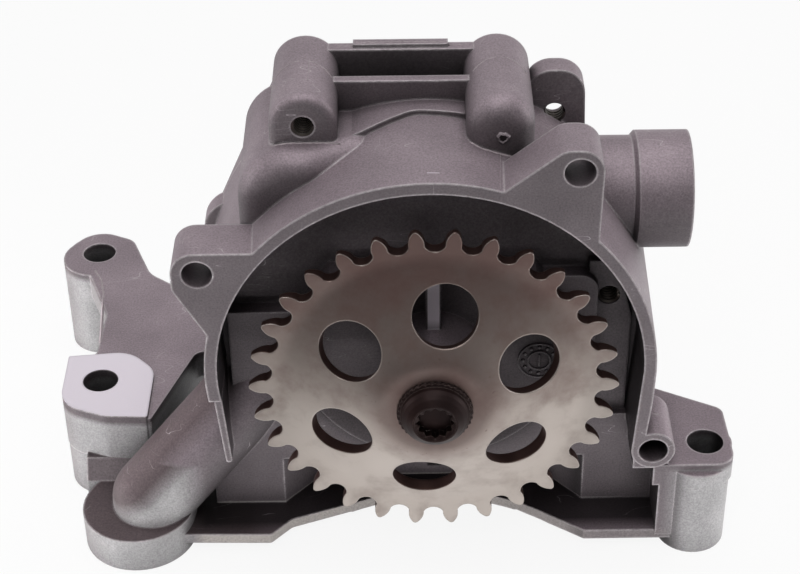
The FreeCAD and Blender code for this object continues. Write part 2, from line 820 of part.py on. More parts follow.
def make_base():
    plate = slab_z([(-60, base_front + 0.5, 0), (-38.5, base_front, 1), (-33.8, 6.7, 3), (-20, 12, 0),
                    (20, 12, 0), (32, 3.8, 3), (35.3, base_front, 1), (base_right + 2, base_front, 0),
                    (base_right + 2, case_rear, 0), (-54, case_rear, 0), (-60, 16, 0)],
                   base_bottom, base_bottom + base_thickness)
    left_wall = block(base_left, base_left + base_wall, block_front, case_rear, base_bottom, hollow_top)
    right_wall = block(base_right - base_wall, base_right, block_front, case_rear, base_bottom, hollow_top)
    return [plate, left_wall, right_wall]


def recess_line(setback):
    # Front of the low wall from left to right: it steps back in the middle, as the lip in front does
    y = block_front + setback
    side = recess_side + setback / 2
    return [(base_left + base_wall, y, 0), (-side, y, 0), (-recess_middle, y + recess_depth, 0),
            (recess_middle, y + recess_depth, 0), (side, y, 0), (base_right - base_wall, y, 0)]


def base_cuts():
    floor = base_bottom + base_thickness
    notch = rod_z(notch_radius, 0, notch_centre_y, base_bottom - 1, floor + 0.01)
    line = recess_line(0)[1:5]
    recess = slab_z([(line[0][0], -10, 0)] + line + [(line[3][0], -10, 0)], floor, recess_top)
    return [notch, recess]


def hollow_cut():
    corners = recess_line(base_wall)
    corners.append((base_right - base_wall, case_rear + 1, 0))
    corners.append((base_left + base_wall, case_rear + 1, 0))
    return slab_z(corners, base_bottom + base_thickness, hollow_top)


def make_right_leg():
    top = slab_z([(45, 30.5, 0), (53.5, 29.8, 2), (69.0, 21.5, 3), (69.5, 3.5, 4), (66.5, 1.3, 3),
                  (45, 1.3, 0)], leg_top - 6, leg_top)
    column = slab_z([(base_right - 2, 27, 0), (60.5, 22.5, 4), (68.0, 19, 5), (69.0, 3.5, 4), (66.0, 1.3, 3),
                     (base_right - 2, 1.3, 0)], foot_level + 4, leg_top)
    foot = rod_z(right_foot_radius, right_leg_x - 2.2, right_leg_y - 2.2, foot_level, leg_top - 2)
    bore_wall = rod_z(leg_hole_radius + 2.0, right_leg_x, right_leg_y, foot_level, leg_top)
    inner = block(40, base_right - base_wall, -5, block_front, base_bottom + base_thickness, leg_top + 1)
    top = top.cut(inner)
    return [top, column, foot, bore_wall]


def make_left_legs():
    web = slab_z([(-96.9, 91.5, 7), (-89.5, 101.2, 7), (-79.0, 96.0, 5), (-73.0, 80.2, 8), (-66.9, 75.4, 0),
                  (-42, 47, 0), (-42, 40, 0), (-53, 44, 3), (-55.7, 53.8, 3), (-66.9, 20.6, 0.5),
                  (-77, 20.9, 4), (-88.6, 26.5, 6), (-89.4, 44.3, 0.5), (-82.8, 46.0, 1.5), (-82.3, 63.0, 8),
                  (-88.5, 79.5, 5)], leg_top - web_thickness, leg_top)
    pad = slab_z([(-89.4, 44.3, 0.5), (-74.5, 45.8, 8), (-67.7, 38.5, 7), (-67.7, 20.4, 0.5),
                  (-78, 20.9, 6), (-89.2, 25.5, 8)], leg_top - pad_block_height, leg_top + pad_rise)
    wall = leg_hole_radius + leg_bore_wall
    front_foot = rod_z(leg_foot_radius, front_left_leg_x, front_left_leg_y - 2.6, foot_level, leg_top - 3)
    front_wall = rod_z(wall, front_left_leg_x, front_left_leg_y, foot_level, leg_top - 3)
    rear_foot = rod_z(rear_foot_radius, rear_left_leg_x - 0.5, rear_left_leg_y - 1.7, foot_level, leg_top)
    rear_wall = rod_z(wall, rear_left_leg_x, rear_left_leg_y, foot_level, leg_top)
    skirt = slab_z([(-66.9, 20.6, 0), (-55.7, 53.8, 0), (-59.6, 55.1, 0), (-70.8, 21.9, 0)],
                   base_bottom, leg_top - 1)
    pad_bottom = leg_top - pad_block_height
    apron = slab_x([(17.4, base_bottom, 0), (17.4, outlet_foot_top, 0), (20.8, pad_bottom + 1, 0),
                    (34, pad_bottom + 1, 0), (34, base_bottom, 0)], -83.4, -66.0)
    return [web, pad, front_foot, front_wall, rear_foot, rear_wall, skirt, apron]


def channel_ends():
    start = vec(outlet_x, outlet_y, channel_start_z)
    end = vec(channel_end_x, channel_end_y, channel_end_z)
    return start, end


def make_outlet():
    foot = rod_z(outlet_foot_radius, outlet_x, outlet_y, foot_level, outlet_foot_top)
    start, end = channel_ends()
    along = end - start
    along.normalize()
    heel = start + along * channel_heel
    channel = rod(channel_radius, heel, end).common(block(-100, 0, -20, 60, outlet_foot_top - 4, 40))
    ball = Part.makeSphere(channel_radius, heel)
    ball = ball.common(block(-100, 0, -20, 60, heel.z, 0))
    root = rod_z(channel_radius, heel.x, heel.y, outlet_foot_top - 4, heel.z)
    return [foot, channel, ball, root]


def outlet_cuts():
    start, end = channel_ends()
    return [rod_z(outlet_mouth_radius, outlet_x, outlet_y, foot_level - 1, channel_start_z),
            rod(channel_bore_radius, start, end),
            rod_y(outlet_pocket_radius, outlet_pocket_x, outlet_pocket_z, chamber_front, case_rear + 1)]


def make_intake():
    neck = rod_x(intake_neck_radius, intake_y, intake_z, 20, intake_collar_start + 1)
    collar_profile = [vec(intake_collar_start - 1.0, intake_y, intake_z),
                      vec(intake_collar_start - 1.0, intake_y, intake_z + intake_neck_radius),
                      vec(intake_collar_start, intake_y, intake_z + intake_collar_radius),
                      vec(intake_end, intake_y, intake_z + intake_collar_radius),
                      vec(intake_end, intake_y, intake_z)]
    face = Part.Face(Part.makePolygon(collar_profile + [collar_profile[0]]))
    collar = face.revolve(vec(0, intake_y, intake_z), vec(1, 0, 0), 360)
    return [neck, collar]


def intake_cuts():
    return [rod_x(intake_bore_radius, intake_y, intake_z, intake_inner_end, intake_end + 1),
            rod_x(intake_socket_radius, intake_y, intake_z, intake_end - intake_socket_depth, intake_end + 1),
            rod_y(intake_pocket_radius, intake_pocket_x, intake_pocket_z, chamber_front, case_rear + 1)]


def screw_places():
    # In order round the edge of the cover
    return [(top_left_screw_x, top_left_screw_z), (top_right_screw_x, top_right_screw_z),
            (right_screw_x, right_screw_z), (low_right_screw_x, low_right_screw_z),
            (bottom_screw_x, bottom_screw_z), (low_left_screw_x, low_left_screw_z),
            (side_boss_x, side_screw_z)]


def dowel_places():
    return [(low_dowel_x, low_dowel_z), (high_dowel_x, high_dowel_z)]


def rear_pocket_cut():
    # A cored space beside the gear case, open at the rear
    return slab_y([(36.5, 4.5, 2), (45.5, 4.5, 2), (46.0, -20.5, 2), (33.5, -20.5, 2), (36.5, -8, 2)],
                  chamber_front, case_rear + 1)


def housing_cuts():
    tapped = [rod_y(screw_core_radius + bush_fit, x, z, case_rear - tapped_hole_depth, case_rear + 1)
              for x, z in screw_places()]
    tapped.append(rod_y(tapped_radius, top_boss_left_x, top_boss_z, top_boss_left_front - 1,
                        top_boss_left_front + top_boss_hole_depth))
    dowels = [rod_y(dowel_radius + dowel_fit, x, z, case_rear - dowel_length / 2, case_rear + 1)
              for x, z in dowel_places()]
    chambers = [rod_y(chamber_radius, 0, 0, chamber_front, case_rear + 1),
                rod_y(chamber_radius, idler_x, idler_z, chamber_front, case_rear + 1),
                rod_y(bush_outer_radius + bush_fit, 0, 0, bearing_boss_front - 1, chamber_front + 1),
                rod_y(shaft_radius + dowel_fit, idler_x, idler_z, chamber_front - idler_shaft_front_grip,
                      chamber_front + 1)]
    legs = [rod_z(leg_hole_radius, x, y, foot_level - 1, leg_top + pad_rise + 1)
            for x, y in [(right_leg_x, right_leg_y), (front_left_leg_x, front_left_leg_y),
                         (rear_left_leg_x, rear_left_leg_y)]]
    lugs = [rod_y(lug_hole_radius, left_lug_x, left_lug_z, guard_front - 1, guard_front + lug_depth + 1),
            rod_y(lug_hole_radius, right_lug_x, right_lug_z, guard_front - 1, guard_front + lug_depth + 1),
            rod_y(lug_hole_radius, low_lug_x, low_lug_z, guard_front - 1, guard_front + low_lug_hole_depth)]
    ears = [rod_y(tapped_radius, rear_lug_x, rear_lug_z, case_rear - rear_lug_thickness - 1, case_rear + 1),
            rod_y(tapped_radius, ear_x, ear_z, ear_front - 3, ear_front + ear_hole_depth)]
    pocket_left = top_boss_left_x + top_boss_radius + rib_pocket_gap
    pocket_right = top_boss_right_x - top_boss_radius - rib_pocket_gap
    rib_pocket = block(pocket_left, pocket_right, middle_rib_y + rib_thickness,
                       case_rear - rib_thickness - rear_rib_extra, rib_pocket_floor, bulge_top + 20)
    return tapped + dowels + chambers + legs + lugs + ears + [rib_pocket]


def make_pump_housing():
    solids = make_guard() + make_lugs() + make_gear_case() + [make_bulge()] + make_top_bosses()
    solids += make_side_bosses() + make_back_wall() + make_base() + make_right_leg() + make_left_legs()
    hollowed = fuse_all(solids).cut(base_cuts() + [hollow_cut(), rear_pocket_cut()])
    body = fuse_all([hollowed] + make_outlet() + make_intake())
    grooves = [outlet_ring_groove(), intake_ring_groove()]
    return body.cut(housing_cuts() + outlet_cuts() + intake_cuts() + grooves)


# Rear cover

def cover_plate():
    # The edge runs round the screws at an even distance
    corners = [vec(x, case_rear, z) for x, z in screw_places()]
    ring = Part.makePolygon(corners + [corners[0]])
    return Part.Face(ring.makeOffset2D(cover_edge)).extrude(vec(0, cover_thickness, 0))


def relief_body():
    body = rod_z(relief_body_radius, relief_x, relief_y, relief_bottom, relief_top)
    rims = [edge for edge in body.Edges
            if abs(edge.BoundBox.ZMin - relief_top) < 0.01 and abs(edge.BoundBox.ZMax - relief_top) < 0.01]
    body = body.makeFillet(relief_top_rounding, rims)
    web = block(relief_x - relief_body_radius, relief_x + relief_body_radius, case_rear, relief_y,
                relief_bottom, relief_top - relief_top_rounding)
    return [body, web]


def relief_cuts():
    spill_z = relief_seat_z - spill_drop
    return [rod_z(relief_bore_radius, relief_x, relief_y, relief_bottom - 1, relief_seat_z),
            rod_z(relief_seat_radius, relief_x, relief_y, relief_seat_z - 1, relief_top - relief_top_wall),
            rod_z(plug_thread_radius + dowel_fit, relief_x, relief_y, relief_bottom - 1,
                  relief_bottom + plug_thread_length + 1),
            rod_y(relief_port_radius, relief_port_x, relief_port_z, case_rear - 1, relief_y),
            rod_y(spill_radius, relief_x, spill_z, relief_y, relief_y + relief_body_radius + 2)]


def make_rear_cover():
    rib_top = cover_rear + cover_rib_height
    half = cover_rib_width / 2
    solids = [cover_plate(),
              rod_y(cover_boss_radius, 0, 0, case_rear, cover_rear + cover_boss_height),
              rod_y(idler_boss_radius, idler_x, idler_z, case_rear, cover_rear + idler_boss_height),
              block(-half, half, case_rear, rib_top, 0, upper_rib_end),
              block(0, right_rib_end, case_rear, rib_top, -half, half)] + relief_body()
    beyond = cover_rear + 2 * cover_boss_height
    holes = [rod_y(screw_radius + screw_clearance, x, z, case_rear - 1, beyond) for x, z in screw_places()]
    holes += [rod_y(dowel_radius + dowel_fit, x, z, case_rear - 1, case_rear + dowel_length / 2)
              for x, z in dowel_places()]
    holes.append(rod_y(bush_outer_radius + bush_fit, 0, 0, case_rear - 1, case_rear + rear_bush_length))
    holes.append(rod_y(shaft_radius - 2, 0, 0, case_rear + rear_bush_length - 1, beyond))
    holes.append(rod_y(shaft_radius + dowel_fit, idler_x, idler_z, case_rear - 1,
                       case_rear + idler_shaft_grip))
    return fuse_all(solids).cut(holes + relief_cuts())


def make_cover_screws():
    screws = []
    for x, z in screw_places():
        top = cover_rear + screw_head_height
        profile = [(0, case_rear - screw_grip), (screw_core_radius, case_rear - screw_grip),
                   (screw_core_radius, cover_rear), (screw_head_radius, cover_rear),
                   (screw_head_radius, top), (0, top)]
        socket = hexagon_y(screw_socket_flats, x, z, top - screw_socket_depth, top + 1)
        screws.append(turned_y(profile, x, z).cut(socket))
    return Part.makeCompound(screws)


def make_cover_dowels():
    half = dowel_length / 2 - dowel_end_gap
    pins = [rod_y(dowel_radius, x, z, case_rear - half, case_rear + half) for x, z in dowel_places()]
    return Part.makeCompound(pins)


# Relief valve

def wire_section(radius):
    # Eight sides stand for the round of a thin wire
    angles = [math.radians(45 * i + 22.5) for i in range(8)]
    return [(radius * math.cos(angle), radius * math.sin(angle)) for angle in angles]


def make_relief_piston():
    top = relief_seat_z - piston_seat_gap
    radius = relief_bore_radius - piston_gap
    inner = radius - piston_wall
    profile = [(0, top), (radius - piston_chamfer, top), (radius, top - piston_chamfer),
               (radius, top - piston_length),
               (inner, top - piston_length), (inner, top - piston_crown), (0, top - piston_crown)]
    return turned_z(profile, relief_x, relief_y)


def make_relief_spring():
    top = relief_seat_z - piston_seat_gap - piston_crown - spring_end_gap - spring_wire_radius
    bottom = relief_bottom + plug_thread_length + spring_end_gap + spring_wire_radius
    pitch = (top - bottom) / spring_turns
    path = Part.makeHelix(pitch, top - bottom, spring_coil_radius)
    wire = Part.Wire(path.Edges)
    corners = [vec(spring_coil_radius + u, 0, v) for u, v in wire_section(spring_wire_radius)]
    section = Part.makePolygon(corners + [corners[0]])
    spring = wire.makePipeShell([section], True, True)
    spring.translate(vec(relief_x, relief_y, bottom))
    return Part.makeSolid(spring) if spring.ShapeType == 'Shell' else spring


def make_relief_plug():
    head_top = relief_bottom - washer_thickness
    head = hexagon_z(plug_flats, relief_x, relief_y, head_top - plug_head_height, head_top)
    thread = rod_z(plug_thread_radius, relief_x, relief_y, head_top, relief_bottom + plug_thread_length)
    socket = hexagon_z(plug_socket_flats, relief_x, relief_y, head_top - plug_head_height - 1,
                       head_top - plug_head_height + 4)
    return head.fuse(thread).cut(socket)


def make_relief_washer():
    ring = rod_z(washer_radius, relief_x, relief_y, relief_bottom - washer_thickness, relief_bottom)
    return ring.cut(rod_z(plug_thread_radius + 0.2, relief_x, relief_y, relief_bottom - 5, relief_bottom + 1))


# Seals

def outlet_ring_radius():
    return outlet_mouth_radius + ring_land + ring_groove_gap + outlet_wire_radius


def outlet_ring_groove():
    middle = outlet_ring_radius()
    half = outlet_wire_radius + ring_groove_gap
    depth = 2 * outlet_wire_radius + ring_groove_gap
    outer = rod_z(middle + half, outlet_x, outlet_y, foot_level - 1, foot_level + depth)
    return outer.cut(rod_z(middle - half, outlet_x, outlet_y, foot_level - 2, foot_level + depth + 1))


def make_outlet_ring():
    z = foot_level + outlet_wire_radius + ring_groove_gap / 2
    return Part.makeTorus(outlet_ring_radius(), outlet_wire_radius, vec(outlet_x, outlet_y, z), vec(0, 0, 1))


def intake_ring_radius():
    return intake_socket_radius + intake_groove_depth - ring_groove_gap - intake_wire_radius


def intake_ring_groove():
    x = intake_end - intake_ring_setback
    half = intake_wire_radius + ring_groove_gap
    return rod_x(intake_socket_radius + intake_groove_depth, intake_y, intake_z, x - half, x + half)


def make_intake_ring():
    x = intake_end - intake_ring_setback
    return Part.makeTorus(intake_ring_radius(), intake_wire_radius, vec(x, intake_y, intake_z), vec(1, 0, 0))


pieces = {
    "pump_housing": make_pump_housing,
    "rear_cover": make_rear_cover,
    "cover_screws": make_cover_screws,
    "cover_dowels": make_cover_dowels,
    "front_bush": make_front_bush,
    "rear_bush": make_rear_bush,
    "drive_shaft": make_drive_shaft,
    "drive_gear": make_drive_gear,
    "drive_gear_key": gear_key,
    "sprocket": make_sprocket,
    "sprocket_pin": make_drive_pin,
    "sprocket_bolt": make_sprocket_bolt,
    "idler_shaft": make_idler_shaft,
    "idler_gear": make_idler_gear,
    "idler_bush": make_idler_bush,
    "relief_piston": make_relief_piston,
    "relief_spring": make_relief_spring,
    "relief_plug": make_relief_plug,
    "relief_washer": make_relief_washer,
    "outlet_o_ring": make_outlet_ring,
    "intake_o_ring": make_intake_ring,
}

os.makedirs("parts", exist_ok=True)
for name, make in pieces.items():
    shape = make()
    shape.exportStep(os.path.join("parts", name + ".step"))
    print(name, len(shape.Solids), shape.isValid(), round(shape.Volume, 1))
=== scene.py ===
import bmesh
import bpy
import math
from mathutils import Matrix, Vector
from mathutils.bvhtree import BVHTree


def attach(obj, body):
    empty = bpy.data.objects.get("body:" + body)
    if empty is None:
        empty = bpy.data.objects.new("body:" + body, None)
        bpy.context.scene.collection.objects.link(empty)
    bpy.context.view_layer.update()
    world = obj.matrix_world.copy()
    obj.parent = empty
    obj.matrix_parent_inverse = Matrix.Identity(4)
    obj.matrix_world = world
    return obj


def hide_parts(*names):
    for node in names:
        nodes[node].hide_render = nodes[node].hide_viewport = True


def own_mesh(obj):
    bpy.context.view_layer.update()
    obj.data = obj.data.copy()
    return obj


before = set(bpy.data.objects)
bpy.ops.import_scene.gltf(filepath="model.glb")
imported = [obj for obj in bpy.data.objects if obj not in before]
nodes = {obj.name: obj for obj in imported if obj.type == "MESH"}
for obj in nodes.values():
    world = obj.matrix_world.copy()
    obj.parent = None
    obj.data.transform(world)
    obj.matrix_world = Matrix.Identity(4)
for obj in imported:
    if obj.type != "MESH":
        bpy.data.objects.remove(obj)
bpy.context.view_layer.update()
print("frame loaded:", len(nodes), "nodes")

mm = 0.001
# turns a shape made flat so that its axis lies along the wheel's
alongWheel = Matrix.Rotation(math.pi / 2, 4, "X")


# Small helpers

def toLinear(hexColour):
    # sRGB hex to the linear values that shader sockets take
    channels = [int(hexColour[i:i + 2], 16) / 255 for i in (1, 3, 5)]
    return [c / 12.92 if c <= 0.04045 else ((c + 0.055) / 1.055) ** 2.4 for c in channels] + [1.0]


def perMm(size):
    # texture scale whose features are about this many millimetres wide
    return 1 / (size * mm)


def addNode(tree, kind, values=None, links=None, **settings):
    node = tree.nodes.new("ShaderNode" + kind)
    for key, value in settings.items():
        setattr(node, key, value)
    for socket, value in (values or {}).items():
        node.inputs[socket].default_value = value
    for socket, source in (links or {}).items():
        tree.links.new(source, node.inputs[socket])
    return node


def newMaterial(name):
    material = bpy.data.materials.new(name)
    material.use_nodes = True
    tree = material.node_tree
    tree.nodes.clear()
    surface = addNode(tree, "BsdfPrincipled")
    addNode(tree, "OutputMaterial", links={"Surface": surface.outputs["BSDF"]})
    return material, tree, surface


def makeMasks(tree, measures, settings):
    # masks that read one measure each
    masks = dict(measures)
    for name, (measure, off, full, *levels) in settings["masks"].items():
        low, high = levels or (0.0, 1.0)
        mask = addNode(tree, "MapRange", {"From Min": off, "From Max": full, "To Min": low, "To Max": high},
                       {"Value": masks[measure]})
        masks[name] = mask.outputs[0]
    # joined masks are on where all of theirs are, or with MAXIMUM where any is
    for name, (operation, first, *others) in settings.get("joined", {}).items():
        joined = masks[first]
        for other in others:
            pair = addNode(tree, "Math", links={0: joined, 1: masks[other]}, operation=operation)
            joined = pair.outputs[0]
        masks[name] = joined
    return masks


def layColours(tree, under, settings, masks, layers):
    # one colour over another, each where its mask is on
    for colour, mask in layers:
        layer = addNode(tree, "Mix", {7: toLinear(settings[colour])}, {0: masks[mask], 6: under},
                        data_type="RGBA")
        under = layer.outputs[2]
    return under


def finishPiece(name, builder, material, body):
    # the mesh holds its place, so the object stays at the origin
    mesh = bpy.data.meshes.new(name)
    bmesh.ops.recalc_face_normals(builder, faces=builder.faces)
    builder.to_mesh(mesh)
    builder.free()
    mesh.materials.append(material)
    piece = bpy.data.objects.new(name, mesh)
    bpy.context.scene.collection.objects.link(piece)
    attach(piece, body)
    return piece


# Camera, at the photograph's angle

cameraView = {
    "place": (-5.75 * mm, -335.28 * mm, 266.45 * mm),
    "heading": -0.0147115,
    "dip": 0.62258615,
    "roll": -0.00414512,
    "sensor": 36,
    "lens": 87.05,
    "shiftX": -0.0375,
    "nearest": 10 * mm,
}


def makeCamera(view):
    data = bpy.data.cameras.new("camera")
    data.sensor_width = view["sensor"]
    data.lens = view["lens"]
    data.shift_x = view["shiftX"]
    data.clip_start = view["nearest"]
    camera = bpy.data.objects.new("camera", data)
    bpy.context.scene.collection.objects.link(camera)
    turn = Matrix.Rotation(view["heading"], 4, "Z") @ Matrix.Rotation(math.pi / 2 - view["dip"], 4, "X")
    turn = turn @ Matrix.Rotation(view["roll"], 4, "Z")
    camera.matrix_world = Matrix.Translation(view["place"]) @ turn
    bpy.context.scene.camera = camera


makeCamera(cameraView)
bpy.context.scene.view_settings.view_transform = "Standard"
print("camera placed")


# Stage: a pale table that shows white to the camera and keeps the shadow

stageSettings = {
    "floorHeight": -52.0 * mm,
    "floorSize": 6.0,
    "floorColour": "#f0f0f0",
    "floorRoughness": 0.9,
    "cameraWhite": 0.9,  # share of plain white that the camera sees in the table
    # glow of the table in polished faces: places from dim to bright, and the levels there
    "masks": {
        "glowFront": ("y", -120 * mm, -30 * mm, 0.25, 1.0),
        "glowLeft": ("x", -110 * mm, -20 * mm, 0.4, 1.0),
    },
    "joined": {
        "glow": ("MULTIPLY", "glowFront", "glowLeft"),
    },
}

# The room is dim before the object and brighter behind it, and white to the camera
worldSettings = {
    "masks": {
        "level": ("y", -0.75, 0.25, 0.12, 0.5),
    },
    "cameraLevel": 1.0,
}


def makeFloorMaterial(settings):
    material, tree, surface = newMaterial("paleTable")
    surface.inputs["Base Color"].default_value = toLinear(settings["floorColour"])
    surface.inputs["Roughness"].default_value = settings["floorRoughness"]
    surface.inputs["Specular IOR Level"].default_value = 0.0
    white = addNode(tree, "Emission", {"Color": (1, 1, 1, 1), "Strength": 1.0})
    path = addNode(tree, "LightPath")
    toCamera = addNode(tree, "Math", {1: settings["cameraWhite"]}, {0: path.outputs["Is Camera Ray"]},
                       operation="MULTIPLY")
    cameraMix = addNode(tree, "MixShader", links={0: toCamera.outputs[0], 1: surface.outputs[0],
                                                  2: white.outputs[0]})
    # the table glows near the object and fades towards the front, which polished faces mirror
    place = addNode(tree, "TexCoord")
    parts = addNode(tree, "SeparateXYZ", links={0: place.outputs["Object"]})
    masks = makeMasks(tree, {"x": parts.outputs["X"], "y": parts.outputs["Y"]}, settings)
    glow = addNode(tree, "Emission", {"Color": (1, 1, 1, 1)}, {"Strength": masks["glow"]})
    mirrored = addNode(tree, "Math", links={0: path.outputs["Is Glossy Ray"],
                                            1: path.outputs["Is Transmission Ray"]}, operation="MAXIMUM")
    allMix = addNode(tree, "MixShader", links={0: mirrored.outputs[0], 1: cameraMix.outputs[0],
                                               2: glow.outputs[0]})
    tree.links.new(allMix.outputs[0], tree.nodes["Material Output"].inputs["Surface"])
    return material


def makeStage(settings):
    builder = bmesh.new()
    bmesh.ops.create_grid(builder, x_segments=1, y_segments=1, size=settings["floorSize"] / 2)
    bmesh.ops.translate(builder, verts=builder.verts, vec=(0, 0, settings["floorHeight"]))
    mesh = bpy.data.meshes.new("floor")
    builder.to_mesh(mesh)
    builder.free()
    mesh.materials.append(makeFloorMaterial(settings))
    floor = bpy.data.objects.new("floor", mesh)
    bpy.context.scene.collection.objects.link(floor)


def makeWorld(settings):
    world = bpy.data.worlds.new("studio")
    bpy.context.scene.world = world
    world.use_nodes = True
    tree = world.node_tree
    tree.nodes.clear()
    direction = addNode(tree, "TexCoord")
    parts = addNode(tree, "SeparateXYZ", links={0: direction.outputs["Generated"]})
    masks = makeMasks(tree, {"y": parts.outputs["Y"]}, settings)
    path = addNode(tree, "LightPath")
    seen = addNode(tree, "Mix", {3: settings["cameraLevel"]},
                   {0: path.outputs["Is Camera Ray"], 2: masks["level"]}, data_type="FLOAT")
    glow = addNode(tree, "Background", {"Color": (1, 1, 1, 1)}, {"Strength": seen.outputs[0]})
    addNode(tree, "OutputWorld", links={"Surface": glow.outputs[0]})


makeStage(stageSettings)
makeWorld(worldSettings)

# A weak softbox above and one in front of it, a panel on each side, and strips close to the table that
# give the glow of a light table; polished faces mirror all of them but the strips
lampSettings = [
    {"name": "softboxAbove", "place": (0.0, 0.1, 0.95),
     "size": (0.8, 0.8), "watts": 2.7, "mirrored": True},
    {"name": "softboxFront", "place": (-0.1, -0.55, 0.8),
     "size": (0.35, 0.35), "watts": 1.7, "mirrored": True},
    {"name": "leftPanel", "place": (-0.75, 0.0, 0.1),
     "size": (0.5, 0.5), "watts": 0.9, "mirrored": True},
    {"name": "rightPanel", "place": (0.75, 0.05, 0.1),
     "size": (0.5, 0.5), "watts": 1.8, "mirrored": True},
    {"name": "tableGlowFront", "place": (0.0, -0.12, -0.046),
     "size": (0.34, 0.012), "watts": 0.1, "mirrored": False},
    {"name": "tableGlowLeft", "place": (-0.19, 0.0, -0.046),
     "size": (0.24, 0.012), "watts": 0.38, "mirrored": False},
    {"name": "tableGlowRight", "place": (0.17, 0.0, -0.046),
     "size": (0.2, 0.012), "watts": 0.08, "mirrored": False},
]


def makeLamps(lamps):
    for lamp in lamps:
        data = bpy.data.lights.new(lamp["name"], "AREA")
        data.shape = "RECTANGLE"
        data.size, data.size_y = lamp["size"]
        data.energy = lamp["watts"]
        light = bpy.data.objects.new(lamp["name"], data)
        bpy.context.scene.collection.objects.link(light)
        light.location = lamp["place"]
        light.rotation_euler = (-Vector(lamp["place"])).to_track_quat("-Z", "Y").to_euler()
        light.visible_camera = False
        light.visible_glossy = lamp["mirrored"]


makeLamps(lampSettings)
print("stage and lamps set")
